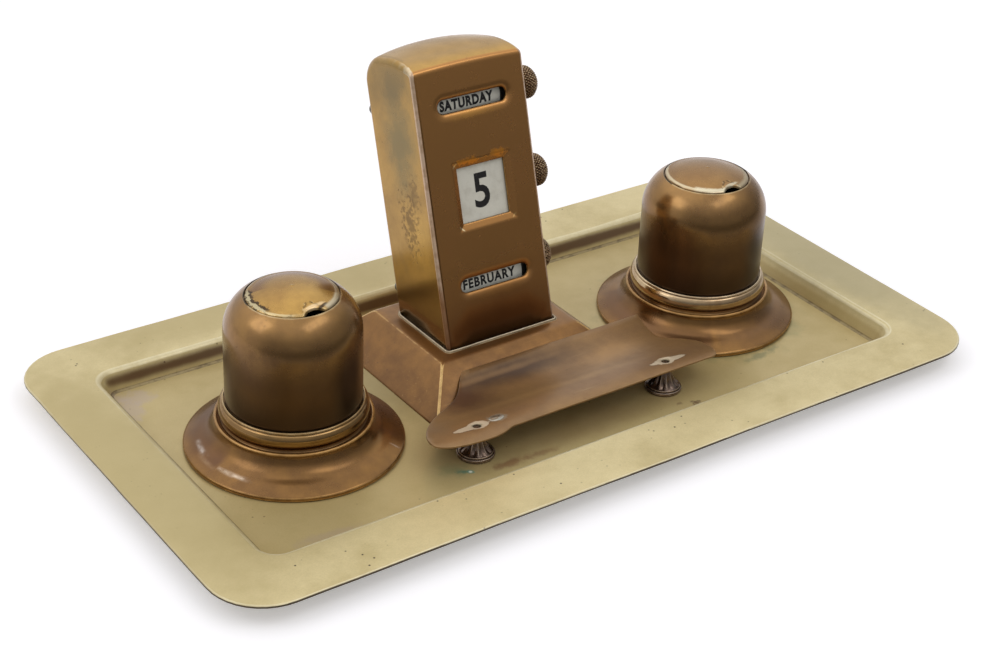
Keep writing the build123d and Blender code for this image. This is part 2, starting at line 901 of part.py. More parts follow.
def inkwell_nodes():
    makers = {
        "inkwell_foot": make_foot,
        "inkwell_collar": make_collar,
        "inkwell_cap": make_cap,
        "inkwell_lid": make_lid,
        "lid_seat": make_lid_seat,
        "glass_liner": make_glass,
    }
    nodes = {}
    for side, word in ((-1, "left"), (1, "right")):
        for name, maker in makers.items():
            nodes[f"{name}_{word}"] = Pos(side * inkwell_spread, 0, 0) * maker()
    return nodes


def calendar_nodes():
    places = knob_places()
    nodes = {}
    for name, radius in (("weekday", weekday_band_radius), ("month", month_band_radius)):
        nodes[f"{name}_drum"] = make_drum(*places[name], radius)
        nodes[f"{name}_band"] = make_ring_band(*places[name], radius, slot_length)
    for name, radius in (("date", front_roll_radius), ("date_return", back_roll_radius)):
        nodes[f"{name}_roller"] = make_roller(*places[name])
        nodes[f"{name}_roll"] = make_wound_band(*places[name], radius)
    for name, place in places.items():
        nodes[f"{name}_spindle"] = make_spindle(*place)
        nodes[f"{name}_knob"] = make_knob(*place)
    return nodes


def stand_nodes():
    left, right = rest_hole_places()
    return {
        "tray": make_tray(),
        "plinth": make_plinth(),
        "pen_rest": make_pen_rest(),
        "pen_rest_foot_left": make_rest_foot(*left),
        "pen_rest_foot_right": make_rest_foot(*right),
    }


def tower_nodes():
    return {
        "tower_case": make_tower_case(),
        "back_cover": make_back_cover(),
        "cover_screws": make_cover_screws(),
        "base_plate": make_base_plate(),
        "frame_left": make_frame(-1),
        "frame_right": make_frame(1),
        "frame_pillars": make_pillars(),
        "frame_screws": make_frame_screws(),
        "date_strip": make_date_strip(),
        "date_platen": make_platen(),
        "date_guides": make_guides(),
        "friction_washers": make_friction_washers(),
    }


def main():
    os.makedirs("parts", exist_ok=True)
    nodes = {**stand_nodes(), **inkwell_nodes(), **tower_nodes(), **calendar_nodes()}
    for name, shape in nodes.items():
        solids = shape if isinstance(shape, list) else shape.solids()
        piece = solids[0] if len(solids) == 1 else Compound(children=list(solids))
        export_step(piece, f"parts/{name}.step")


main()
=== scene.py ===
import math

import bmesh
import bpy
from mathutils import Matrix, Vector, geometry, noise


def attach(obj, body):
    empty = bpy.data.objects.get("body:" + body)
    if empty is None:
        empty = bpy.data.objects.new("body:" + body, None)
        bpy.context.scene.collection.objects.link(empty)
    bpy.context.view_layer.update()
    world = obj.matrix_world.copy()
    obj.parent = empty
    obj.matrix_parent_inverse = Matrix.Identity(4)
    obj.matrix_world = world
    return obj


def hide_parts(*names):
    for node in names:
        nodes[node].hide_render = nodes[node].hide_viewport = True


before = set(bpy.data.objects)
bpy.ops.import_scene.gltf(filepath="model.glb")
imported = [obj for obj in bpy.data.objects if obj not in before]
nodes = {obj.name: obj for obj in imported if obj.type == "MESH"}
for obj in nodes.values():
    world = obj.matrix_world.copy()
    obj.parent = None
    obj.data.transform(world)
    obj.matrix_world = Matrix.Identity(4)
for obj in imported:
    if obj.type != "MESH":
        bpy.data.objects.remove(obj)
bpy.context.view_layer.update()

# A brass desk inkstand, front towards -Y, its underside on the floor at z = 0.
# Lengths are written in millimetres and scaled by MM when a mesh is made.

MM = 0.001

INKWELL_X = 93.4
TRAY_FLOOR = 1.2
RIM_TOP = 8.8
RIM_BASE = 7.6
PLINTH_TOP = 14.4
CASE_FRONT = 4.0
LEAN_DEGREES = 16.08
CASE_LEAN = math.radians(LEAN_DEGREES)
CASE_HALF = 24.7
CASE_DEPTH = 34.3
WINDOW_SHIFT = 0.7

# In the case's own frame, (depth, level): the shafts of the knobs and of the printed drums.
WEEKDAY_AXIS = (11.9, 91.0)
MONTH_AXIS = (16.5, 22.6)
DATE_AXIS = (12.0, 56.6)
DATE_RETURN_AXIS = (25.6, 56.6)


def case_place(x, depth, level):
    """A place in the leaning case's own frame: across, back from the face, up it."""
    c, s = math.cos(CASE_LEAN), math.sin(CASE_LEAN)
    return Vector((x, CASE_FRONT + depth * c + level * s, PLINTH_TOP - depth * s + level * c))


# ---------------------------------------------------------------- camera and light

def place_camera():
    """The photograph's viewpoint, from the front and to the left."""
    data = bpy.data.cameras.new("viewpoint")
    data.sensor_width = 36.0
    data.lens = 71.49
    data.clip_start = 0.01
    camera = bpy.data.objects.new("viewpoint", data)
    bpy.context.scene.collection.objects.link(camera)
    right = (0.81955918, -0.57177994, 0.0372886)
    down = (-0.25834645, -0.42681873, -0.86665038)
    forward = (0.51144878, 0.7006379, -0.49752053)
    rows = Matrix((right, [-v for v in down], [-v for v in forward])).transposed()
    place = Vector((-387.94, -525.76, 395.62)) * MM
    camera.matrix_world = Matrix.LocRotScale(place, rows.to_quaternion(), None)
    bpy.context.scene.camera = camera


def softbox(name, direction, width, height, power, distance=1.2):
    """A rectangular lamp that looks at the object from a direction."""
    data = bpy.data.lights.new(name, "AREA")
    data.shape = "RECTANGLE"
    data.size = width
    data.size_y = height
    data.energy = power
    lamp = bpy.data.objects.new(name, data)
    bpy.context.scene.collection.objects.link(lamp)
    middle = Vector((0.0, 0.0, 0.05))
    lamp.location = middle + Vector(direction).normalized() * distance
    lamp.rotation_euler = (middle - lamp.location).to_track_quat("-Z", "Y").to_euler()


# ---------------------------------------------------------------- node helpers

def srgb(red, green, blue):
    """A colour as the eye reads it, 0 to 255, turned into the shader's scale."""
    def straight(value):
        value = value / 255
        return value / 12.92 if value <= 0.04045 else ((value + 0.055) / 1.055) ** 2.4
    return (straight(red), straight(green), straight(blue), 1.0)


class Graph:
    """Adds nodes to a tree and joins them."""

    def __init__(self, tree):
        self.tree = tree

    def node(self, kind, sockets=(), **settings):
        made = self.tree.nodes.new(kind)
        for key, value in settings.items():
            setattr(made, key, value)
        for key, value in dict(sockets).items():
            self.feed(made.inputs[key], value)
        return made

    def feed(self, socket, value):
        """Joins a socket to another, or sets its plain value."""
        if isinstance(value, bpy.types.NodeSocket):
            self.tree.links.new(value, socket)
        else:
            socket.default_value = value

    def math(self, operation, first, second=0.0, clamp=False):
        sockets = {0: first, 1: second}
        made = self.node("ShaderNodeMath", sockets, operation=operation, use_clamp=clamp)
        return made.outputs[0]

    def times(self, first, second):
        return self.math("MULTIPLY", first, second)

    def plus(self, first, second):
        return self.math("ADD", first, second)

    def minus(self, first, second, clamp=False):
        return self.math("SUBTRACT", first, second, clamp)

    def vector_math(self, operation, first, second=(0, 0, 0)):
        made = self.node("ShaderNodeVectorMath", {0: first, 1: second}, operation=operation)
        return made.outputs["Value" if operation in ("LENGTH", "DOT_PRODUCT") else "Vector"]

    def mix(self, factor, first, second, blend="MIX"):
        made = self.node("ShaderNodeMix", data_type="RGBA", blend_type=blend)
        self.feed(made.inputs[0], factor)
        self.feed(made.inputs[6], first)
        self.feed(made.inputs[7], second)
        return made.outputs[2]

    def blend_values(self, factor, first, second):
        made = self.node("ShaderNodeMix", data_type="FLOAT")
        self.feed(made.inputs[0], factor)
        self.feed(made.inputs[2], first)
        self.feed(made.inputs[3], second)
        return made.outputs[0]

    def step(self, value, low, high):
        """0 below low, 1 above high, with soft ends."""
        sockets = {"Value": value, "From Min": low, "From Max": high}
        made = self.node("ShaderNodeMapRange", sockets, interpolation_type="SMOOTHSTEP")
        return made.outputs["Result"]

    def noise(self, vector, scale, detail=3.0, roughness=0.5, distortion=0.0):
        sockets = {
            "Vector": vector, "Scale": scale, "Detail": detail,
            "Roughness": roughness, "Distortion": distortion,
        }
        return self.node("ShaderNodeTexNoise", sockets).outputs["Fac"]

    def place(self):
        """The point of the object that is being coloured, in metres."""
        return self.node("ShaderNodeTexCoord").outputs["Object"]

    def stretch(self, vector, scale):
        sockets = {"Vector": vector, "Scale": scale}
        return self.node("ShaderNodeMapping", sockets).outputs["Vector"]

    def rotate(self, vector, rotation):
        sockets = {"Vector": vector, "Rotation": rotation}
        made = self.node("ShaderNodeVectorRotate", sockets, rotation_type="EULER_XYZ")
        return made.outputs[0]

    def group(self, tree, **sockets):
        """Places a group in the tree; in the names of its sockets _ stands for a space."""
        made = self.tree.nodes.new("ShaderNodeGroup")
        made.node_tree = tree
        for key, value in sockets.items():
            self.feed(made.inputs[key.replace("_", " ")], value)
        return made


KINDS = {"number": "NodeSocketFloat", "colour": "NodeSocketColor", "vector": "NodeSocketVector"}


def new_group(name, inputs, outputs):
    """A shader node group with named sockets: (name, kind, default)."""
    tree = bpy.data.node_groups.new(name, "ShaderNodeTree")
    for label, kind, default in inputs:
        socket = tree.interface.new_socket(label, in_out="INPUT", socket_type=KINDS[kind])
        socket.default_value = default
    for label, kind in outputs:
        tree.interface.new_socket(label, in_out="OUTPUT", socket_type=KINDS[kind])
    graph = Graph(tree)
    start = graph.node("NodeGroupInput").outputs
    end = graph.node("NodeGroupOutput").inputs
    return tree, graph, start, end


# ---------------------------------------------------------------- shared effects

def make_wear_sheen_dirt_shade_group():
    """Edges that stand proud, rubbed bright and given a painted highlight, and hollows and
    sheltered places that hold dirt and painted shade.
    """
    tree, graph, start, end = new_group(
        "wear_sheen_dirt_shade",
        [
            ("Round", "number", 1.0), ("Ragged", "number", 0.5), ("Scale", "number", 300.0),
            ("Shade reach", "number", 0.0012),
        ],
        [("Edge wear and sheen", "number"), ("Hollow dirt and shade", "number")],
    )
    bend = graph.node("ShaderNodeAttribute", attribute_name="bend").outputs["Fac"]
    sharp = graph.times(bend, start["Round"])
    # a proud edge is worn bright and given a painted highlight, but the noise tears its outline
    tear = graph.noise(graph.place(), start["Scale"], 4.0, 0.6)
    torn = graph.times(graph.step(tear, 0.38, 0.66), start["Ragged"])
    graph.feed(end["Edge wear and sheen"], graph.minus(graph.step(sharp, 0.3, 0.9), torn, clamp=True))
    # painted shade lies where the surface is sheltered, and dirt where it bends inwards
    shelter = graph.node(
        "ShaderNodeAmbientOcclusion", {"Distance": start["Shade reach"]}, samples=5
    )
    near = graph.step(shelter.outputs["AO"], 0.62, 0.2)
    hollow = graph.step(graph.times(sharp, -1.0), 0.35, 1.0)
    dirt_and_shade = graph.math("MAXIMUM", near, hollow)
    dirt_and_shade = graph.times(dirt_and_shade, graph.blend_values(graph.step(tear, 0.3, 0.6), 1.0, 0.6))
    graph.feed(end["Hollow dirt and shade"], dirt_and_shade)
    return tree


def ragged_shift(graph, start):
    """How far a fine noise moves the outline of a patch or a band."""
    wobble = graph.minus(graph.noise(graph.place(), start["Grain"], 5.0, 0.62), 0.5)
    return graph.times(wobble, graph.times(start["Ragged"], 5.0))


def make_stain_and_shading_group():
    """A soft-edged patch at a place on the object, with a ragged outline."""
    tree, graph, start, end = new_group(
        "stain_and_shading_patch",
        [
            ("Place", "vector", (0, 0, 0)), ("Size", "vector", (0.01, 0.01, 0.01)),
            ("Turn", "vector", (0, 0, 0)), ("Soft", "number", 0.4), ("Ragged", "number", 0.5),
            ("Grain", "number", 400.0),
        ],
        [("Mask", "number")],
    )
    offset = graph.vector_math("SUBTRACT", graph.place(), start["Place"])
    scaled = graph.vector_math("DIVIDE", graph.rotate(offset, start["Turn"]), start["Size"])
    reach = graph.plus(graph.vector_math("LENGTH", scaled), ragged_shift(graph, start))
    inner = graph.minus(1.0, start["Soft"])
    graph.feed(end["Mask"], graph.step(reach, 1.0, inner))
    return tree


def make_band_group():
    """A band of wear, dirt, painted shade or painted highlight along part of a circle about an
    upright axis.
    """
    tree, graph, start, end = new_group(
        "ring_band",
        [
            ("Centre", "vector", (0, 0, 0)), ("Radius", "number", 0.01),
            ("Width", "number", 0.001), ("Toward", "vector", (1, 0, 0)),
            ("Spread", "number", -1.2), ("Soft", "number", 0.4), ("Ragged", "number", 0.3),
            ("Grain", "number", 400.0),
        ],
        [("Mask", "number")],
    )
    offset = graph.vector_math("SUBTRACT", graph.place(), start["Centre"])
    flat = graph.vector_math("MULTIPLY", offset, (1, 1, 0))
    reach = graph.vector_math("LENGTH", flat)
    wobble = ragged_shift(graph, start)
    across = graph.math("ABSOLUTE", graph.minus(reach, start["Radius"]))
    across = graph.plus(graph.math("DIVIDE", across, start["Width"]), wobble)
    band = graph.step(across, 1.0, graph.minus(1.0, start["Soft"]))
    # the band ends where its direction from the centre turns away from Toward
    outward = graph.vector_math("NORMALIZE", flat)
    along = graph.vector_math("DOT_PRODUCT", outward, start["Toward"])
    along = graph.plus(along, graph.times(wobble, 0.06))
    arc = graph.step(along, start["Spread"], graph.plus(start["Spread"], 0.07))
    graph.feed(end["Mask"], graph.times(band, arc))
    return tree


def pits(graph, place):
    """Small round spots in some places, and none in others."""
    sockets = {"Vector": place, "Scale": 330.0, "Randomness": 1.0}
    cells = graph.node("ShaderNodeTexVoronoi", sockets)
    spot = graph.step(cells.outputs["Distance"], 0.17, 0.07)
    return graph.times(spot, graph.step(graph.noise(place, 75.0, 2.0, 0.5), 0.56, 0.68))


def make_tarnish_group():
    """Old brass: a clean colour, clouds of brown, fine specks and a faint grain."""
    tree, graph, start, end = new_group(
        "tarnished_brass",
        [
            ("Clean", "colour", (0.5, 0.4, 0.2, 1)), ("Brown", "colour", (0.3, 0.2, 0.1, 1)),
            ("Dark", "colour", (0.05, 0.03, 0.02, 1)), ("Bright", "colour", (0.7, 0.6, 0.4, 1)),
            ("Cloud scale", "number", 40.0), ("Cloud amount", "number", 0.5),
            ("Speck amount", "number", 0.5), ("Rub", "number", 0.0),
            ("Smooth", "number", 0.3), ("Dull", "number", 0.5), ("Age shift", "number", 0.0),
            ("Metal share", "number", 1.0),
        ],
        [("Color", "colour"), ("Roughness", "number"), ("Height", "number"), ("Metal", "number")],
    )
    aside = {"X": start["Age shift"], "Y": start["Age shift"]}
    aside = graph.node("ShaderNodeCombineXYZ", aside).outputs[0]
    place = graph.vector_math("ADD", graph.place(), aside)
    # clouds: broad and fine noise, from clean to brown
    broad = graph.noise(place, start["Cloud scale"], 4.0, 0.55, 0.6)
    fine = graph.noise(place, graph.times(start["Cloud scale"], 5.3), 5.0, 0.6)
    cloud = graph.blend_values(0.35, broad, fine)
    cloud = graph.step(cloud, graph.minus(0.78, start["Cloud amount"]), 0.80)
    colour = graph.mix(cloud, start["Clean"], start["Brown"])
    # a faint grain in the shade
    grain = graph.noise(place, 1900.0, 2.0, 0.5)
    tint = graph.blend_values(grain, 0.88, 1.10)
    shade = graph.node("ShaderNodeCombineColor", {0: tint, 1: tint, 2: tint}).outputs[0]
    colour = graph.mix(1.0, colour, shade, "MULTIPLY")
    speck = graph.times(pits(graph, place), start["Speck amount"])
    colour = graph.mix(speck, colour, start["Dark"])
    # edges are worn bright and carry a painted highlight
    colour = graph.mix(start["Rub"], colour, start["Bright"])
    # brown and pitted brass is duller, and less of a mirror
    rough = graph.blend_values(cloud, start["Smooth"], start["Dull"])
    rough = graph.plus(rough, graph.times(graph.minus(fine, 0.5), 0.14))
    rough = graph.plus(rough, graph.times(speck, 0.25))
    rough = graph.minus(rough, graph.times(start["Rub"], 0.12), clamp=True)
    metal = graph.minus(1.0, graph.times(speck, 0.7))
    metal = graph.minus(metal, graph.times(cloud, 0.12))
    metal = graph.minus(metal, graph.times(start["Rub"], 0.7), clamp=True)
    metal = graph.times(metal, start["Metal share"])
    height = graph.times(fine, 0.6)
    height = graph.minus(height, graph.times(speck, 1.2))
    graph.feed(end["Color"], colour)
    graph.feed(end["Roughness"], rough)
    graph.feed(end["Height"], height)
    graph.feed(end["Metal"], metal)
    return tree


def make_scratch_group():
    """Fine straight marks that run one way, in patches."""
    tree, graph, start, end = new_group(
        "fine_scratches",
        [("Turn", "vector", (0, 0, 0)), ("Scale", "number", 60.0), ("Amount", "number", 0.5)],
        [("Mark", "number"), ("Height", "number")],
    )
    drawn = graph.stretch(graph.rotate(graph.place(), start["Turn"]), (0.03, 1.0, 1.0))
    streak = graph.noise(drawn, graph.times(start["Scale"], 30.0), 3.0, 0.7)
    patch = graph.noise(graph.place(), start["Scale"], 3.0, 0.5)
    mark = graph.times(graph.step(streak, 0.60, 0.72), graph.step(patch, 0.45, 0.65))
    mark = graph.times(mark, start["Amount"])
    graph.feed(end["Mark"], mark)
    graph.feed(end["Height"], graph.times(streak, start["Amount"]))
    return tree


wear_sheen_dirt_shade_group = make_wear_sheen_dirt_shade_group()
stain_and_shading_group = make_stain_and_shading_group()
band_group = make_band_group()
tarnish_group = make_tarnish_group()
scratch_group = make_scratch_group()


# ---------------------------------------------------------------- materials

def new_material(name):
    """A material with its node graph and its main shader."""
    material = bpy.data.materials.new(name)
    material.use_nodes = True
    graph = Graph(material.node_tree)
    return material, graph, material.node_tree.nodes["Principled BSDF"]


def millimetres(*values):
    return tuple(value * MM for value in values)


def add_relief(graph, shader, height, strength, distance=0.0002):
    """Turns heights into the shader's normal."""
    sockets = {"Strength": strength, "Distance": distance, "Height": height}
    graph.feed(shader.inputs["Normal"], graph.node("ShaderNodeBump", sockets).outputs[0])


def apply_stains_and_shading(graph, colour, rough, stains_and_shading):
    """Lays patches of stain, painted shade and painted highlight over a colour and a roughness,
    each a row of a table.
    """
    for place, size, turn, soft, ragged, grain, tint, share, dull in stains_and_shading:
        patch = graph.group(
            stain_and_shading_group, Place=millimetres(*place), Size=millimetres(*size),
            Turn=tuple(map(math.radians, turn)), Soft=soft, Ragged=ragged, Grain=grain,
        )
        mask = graph.times(patch.outputs["Mask"], share)
        colour = graph.mix(mask, colour, srgb(*tint))
        rough = graph.blend_values(mask, rough, dull)
    return colour, rough


def apply_bands(graph, colour, rough, bands):
    """Lays bands about an inkwell's axis over a colour, each a row of a band table."""
    for side, radius, width, angle, spread, soft, ragged, grain, tint, share, dull in bands:
        turn = math.radians(angle)
        whole_round = 0.2 if spread >= 180 else 0.0
        band = graph.group(
            band_group, Centre=(side * INKWELL_X * MM, 0, 0), Radius=radius * MM,
            Width=width * MM, Toward=(math.cos(turn), math.sin(turn), 0),
            Spread=math.cos(math.radians(spread)) - whole_round,
            Soft=soft, Ragged=ragged, Grain=grain,
        )
        mask = graph.times(band.outputs["Mask"], share)
        colour = graph.mix(mask, colour, srgb(*tint))
        rough = graph.blend_values(mask, rough, dull)
    return colour, rough


def old_brass(
    name, tones, cloud_scale=40.0, cloud=0.5, specks=0.5, smooth=0.3, dull=0.5, edge_round=1.0,
    wear_and_sheen_share=0.7, ragged=0.4, dirt_and_shade=0.6, shift=0.0, stains_and_shading=(), bands=(), scratch=0.25,
    scratch_turn=(0, 0, 0), bump=0.06, metal=0.9, coat=0.0,
):
    """Tarnished brass in four tones: clean, brown, dark for dirt and painted shade, and bright
    where it is rubbed and given a painted highlight.
    """
    clean, brown, dark, bright = (srgb(*tone) for tone in tones)
    material, graph, shader = new_material(name)
    # edges get wear and a painted highlight, hollows get dirt, and sheltered places get painted
    # shade
    wear_sheen_dirt_shade = graph.group(wear_sheen_dirt_shade_group, Round=edge_round, Ragged=ragged)
    edge_wear_and_sheen = graph.times(wear_sheen_dirt_shade.outputs["Edge wear and sheen"], wear_and_sheen_share)
    skin = graph.group(
        tarnish_group, Clean=clean, Brown=brown, Dark=dark, Bright=bright,
        Cloud_scale=cloud_scale, Cloud_amount=cloud, Speck_amount=specks, Rub=edge_wear_and_sheen,
        Smooth=smooth, Dull=dull, Age_shift=shift, Metal_share=metal,
    )
    marks = graph.group(scratch_group, Turn=scratch_turn, Amount=scratch)
    colour = graph.mix(marks.outputs["Mark"], skin.outputs["Color"], bright)
    height = graph.plus(skin.outputs["Height"], marks.outputs["Height"])
    rough = skin.outputs["Roughness"]
    colour, rough = apply_stains_and_shading(graph, colour, rough, stains_and_shading)
    colour, rough = apply_bands(graph, colour, rough, bands)
    # dirt in the hollows, and painted shade where the surface is sheltered
    colour = graph.mix(graph.times(wear_sheen_dirt_shade.outputs["Hollow dirt and shade"], dirt_and_shade), colour, dark)
    graph.feed(shader.inputs["Base Color"], colour)
    graph.feed(shader.inputs["Roughness"], rough)
    graph.feed(shader.inputs["Metallic"], skin.outputs["Metal"])
    add_relief(graph, shader, height, bump)
    shader.inputs["Coat Weight"].default_value = coat
    shader.inputs["Coat Roughness"].default_value = 0.14
    return material


def plain_metal(name, colour, rough, cloud_scale=120.0):
    """Steel or tin inside the case: faint clouds and a fine drawn grain."""
    material, graph, shader = new_material(name)
    cloud = graph.noise(graph.place(), cloud_scale, 4.0, 0.6)
    darker = tuple(channel * 0.62 for channel in colour[:3]) + (1.0,)
    graph.feed(shader.inputs["Base Color"], graph.mix(graph.step(cloud, 0.35, 0.7), colour, darker))
    graph.feed(shader.inputs["Roughness"], graph.blend_values(cloud, rough - 0.08, rough + 0.14))
    shader.inputs["Metallic"].default_value = 1.0
    grain = graph.noise(graph.stretch(graph.place(), (1.0, 14.0, 14.0)), 160.0, 3.0)
    add_relief(graph, shader, grain, 0.08)
    return material


def printed_paper(name, tone, grime):
    """The bands' paper: a fine weave, yellowed in patches."""
    material, graph, shader = new_material(name)
    weave = graph.noise(graph.place(), 2400.0, 3.0, 0.6)
    stain = graph.step(graph.noise(graph.place(), 210.0, 4.0, 0.6), 0.42, 0.75)
    colour = graph.mix(graph.times(stain, grime), tone, srgb(150, 140, 120))
    colour = graph.mix(graph.times(weave, 0.14), colour, srgb(120, 112, 98))
    graph.feed(shader.inputs["Base Color"], colour)
    graph.feed(shader.inputs["Roughness"], graph.blend_values(weave, 0.62, 0.8))
    add_relief(graph, shader, weave, 0.2, 0.0001)
    return material


def printing_ink(name):
    """Black ink, worn grey in places."""
    material, graph, shader = new_material(name)
    worn = graph.step(graph.noise(graph.place(), 1500.0, 4.0, 0.65), 0.60, 0.80)
    graph.feed(shader.inputs["Base Color"], graph.mix(worn, srgb(26, 24, 26), srgb(120, 116, 110)))
    graph.feed(shader.inputs["Roughness"], graph.blend_values(worn, 0.5, 0.7))
    return material


def turned_wood(name):
    """The rollers' beech, its grain along them."""
    material, graph, shader = new_material(name)
    rings = graph.noise(graph.stretch(graph.place(), (0.12, 1.0, 1.0)), 700.0, 4.0, 0.6)
    graph.feed(shader.inputs["Base Color"], graph.mix(rings, srgb(176, 132, 84), srgb(128, 88, 52)))
    graph.feed(shader.inputs["Roughness"], graph.blend_values(rings, 0.5, 0.65))
    add_relief(graph, shader, rings, 0.15)
    return material


def ink_glass(name):
    """Clear glass with a film of old ink."""
    material, graph, shader = new_material(name)
    film = graph.step(graph.noise(graph.place(), 90.0, 5.0, 0.6), 0.45, 0.8)
    colour = graph.mix(film, srgb(226, 234, 232), srgb(190, 200, 205))
    graph.feed(shader.inputs["Base Color"], colour)
    graph.feed(shader.inputs["Roughness"], graph.blend_values(film, 0.04, 0.22))
    shader.inputs["Transmission Weight"].default_value = 1.0
    shader.inputs["IOR"].default_value = 1.5
    return material


DARK_CRUST = (40, 31, 24)
BARE = (208, 190, 162)
WORN = (205, 196, 172)
LEAN = (LEAN_DEGREES, 0, 0)
FLAT = (0, 0, 0)


def about_z(degrees):
    """A turn about an upright axis."""
    return (0, 0, degrees)


# Each row, a stain, a painted shade or a painted highlight: place, half size, turn, softness,
# raggedness, grain, tint, share, roughness.
TRAY_STAINS_AND_SHADE = [
    # the well is yellower than the rim, and its far wall is in shade
    ((0.0, 0.0, 1.2), (400.0, 300.0, 5.5), FLAT, 0.3, 0.05, 60.0, (170, 146, 88), 0.50, 0.44),
    ((0.0, 64.6, 4.6), (300.0, 3.0, 3.2), FLAT, 0.6, 0.08, 60.0, (96, 68, 42), 0.92, 0.36),
    # dull blooms in the corners
    ((-131.0, 56.0, 1.2), (11.0, 6.5, 4.0), about_z(25),
     0.7, 0.4, 200.0, (186, 168, 152), 0.6, 0.45),
    ((-134.0, 49.0, 1.2), (4.5, 11.0, 4.0), FLAT, 0.6, 0.4, 200.0, (186, 168, 152), 0.6, 0.45),
    ((129.0, 54.0, 1.2), (12.0, 9.0, 4.0), about_z(-20),
     0.8, 0.4, 160.0, (160, 146, 128), 0.5, 0.5),
    ((-112.0, -58.0, 1.2), (17.0, 4.5, 4.0), about_z(8),
     0.8, 0.4, 200.0, (178, 158, 136), 0.45, 0.5),
    # painted shade with reddish staining under the pen rest, then broad tones of the well and of
    # the rim
    ((0.0, -47.0, 1.2), (64.0, 12.0, 4.0), FLAT, 0.9, 0.15, 90.0, (134, 90, 62), 0.30, 0.4),
    ((-48.0, 18.0, 1.2), (16.0, 50.0, 4.0), FLAT, 0.9, 0.15, 90.0, (142, 126, 84), 0.55, 0.46),
    ((-156.0, 0.0, 8.0), (30.0, 110.0, 4.0), FLAT,
     0.6, 0.10, 60.0, (182, 164, 112), 0.80, 0.42),
    ((158.0, -5.0, 8.0), (26.0, 90.0, 4.0), FLAT, 0.6, 0.10, 60.0, (170, 158, 120), 0.75, 0.42),
    ((-50.0, 84.0, 8.0), (130.0, 22.0, 4.0), FLAT,
     0.6, 0.10, 60.0, (184, 166, 114), 0.75, 0.42),
    # under the pen rest: red marks, then green and a white crumb by the left foot
    ((-36.0, -53.5, 1.2), (12.5, 3.4, 3.0), FLAT, 0.9, 0.35, 240.0, (118, 58, 34), 0.55, 0.45),
    ((-22.0, -54.0, 1.2), (9.0, 2.4, 3.0), FLAT, 0.9, 0.35, 240.0, (118, 66, 40), 0.40, 0.45),
    ((-55.0, -47.0, 1.2), (9.0, 6.0, 3.0), about_z(20),
     0.95, 0.25, 160.0, (132, 140, 100), 0.55, 0.5),
    ((-53.3, -49.4, 1.2), (3.6, 1.7, 3.0), about_z(20),
     0.8, 0.4, 420.0, (78, 128, 108), 0.75, 0.6),
    ((-51.2, -50.6, 1.2), (1.7, 1.7, 3.0), FLAT, 0.6, 0.2, 420.0, (110, 158, 138), 0.85, 0.6),
    ((-51.2, -50.6, 1.2), (0.85, 0.85, 3.0), FLAT, 0.5, 0.1, 420.0, (238, 242, 226), 1.0, 0.5),
    # round the right inkwell
    ((INKWELL_X, -2.0, 1.2), (44.0, 44.0, 3.0), FLAT, 0.25, 0.12, 90.0, (132, 134, 92), 0.45, 0.5),
    ((93.0, -43.0, 1.2), (13.0, 2.6, 3.0), about_z(-6),
     0.9, 0.5, 260.0, (96, 110, 78), 0.5, 0.5),
    # two brown spots
    ((47.0, -57.0, 1.2), (2.4, 2.2, 3.0), FLAT, 0.7, 0.5, 420.0, (92, 64, 40), 0.8, 0.5),
    ((41.0, -54.0, 1.2), (2.2, 1.6, 3.0), FLAT, 0.8, 0.5, 420.0, (110, 78, 50), 0.5, 0.5),
]

# Each band: side, radius, half width, angle, half spread, softness, raggedness, grain, tint,
# share, roughness.
LEFT_LID_BANDS = [
    # a pale worn rim, and painted shade inside it towards the back and right
    (-1, 15.95, 0.7, 0, 180, 0.6, 0.12, 300.0, (196, 172, 124), 0.35, 0.32),
    (-1, 15.5, 1.5, 325, 40, 0.8, 0.10, 300.0, (190, 182, 158), 0.75, 0.32),
    (-1, 15.6, 1.1, 62, 72, 0.9, 0.10, 300.0, (180, 166, 142), 0.55, 0.32),
    (-1, 12.6, 5.0, 60, 95, 0.95, 0.10, 160.0, (112, 76, 48), 0.70, 0.26),
    # a ragged crust on the rim's left side
    (-1, 15.3, 1.5, 176, 36, 0.3, 0.80, 520.0, DARK_CRUST, 0.85, 0.6),
    (-1, 15.6, 0.7, 174, 32, 0.3, 0.95, 560.0, (196, 182, 144), 0.85, 0.45),
    (-1, 15.95, 0.45, 222, 26, 0.5, 0.4, 430.0, (206, 188, 146), 0.7, 0.4),
    (-1, 15.9, 1.5, 240, 9, 0.3, 0.7, 560.0, DARK_CRUST, 0.95, 0.6),
]

RIGHT_LID_BANDS = [
    # a pale worn rim, widest and brightest at its front
    (1, 15.95, 0.6, 0, 180, 0.6, 0.12, 300.0, WORN, 0.30, 0.32),
    (1, 15.75, 0.75, 185, 58, 0.6, 0.14, 300.0, (206, 190, 156), 0.75, 0.30),
    (1, 15.4, 1.5, 238, 30, 0.7, 0.16, 300.0, (214, 204, 176), 0.85, 0.28),
    (1, 15.2, 1.5, 318, 40, 0.9, 0.20, 300.0, (168, 158, 130), 0.65, 0.34),
]

# By side: painted shade for the dark gap that shows round the back of each lid.
GAP_SHADE_BANDS = {
    side: [
        (side, 17.05, 0.32, 42, 62, 0.4, 0.06, 300.0, (22, 17, 13), 0.95, 0.6),
        (side, 16.95, 0.22, 140, 40, 0.4, 0.10, 300.0, (30, 24, 18), 0.85, 0.6),
    ]
    for side in (-1, 1)
}

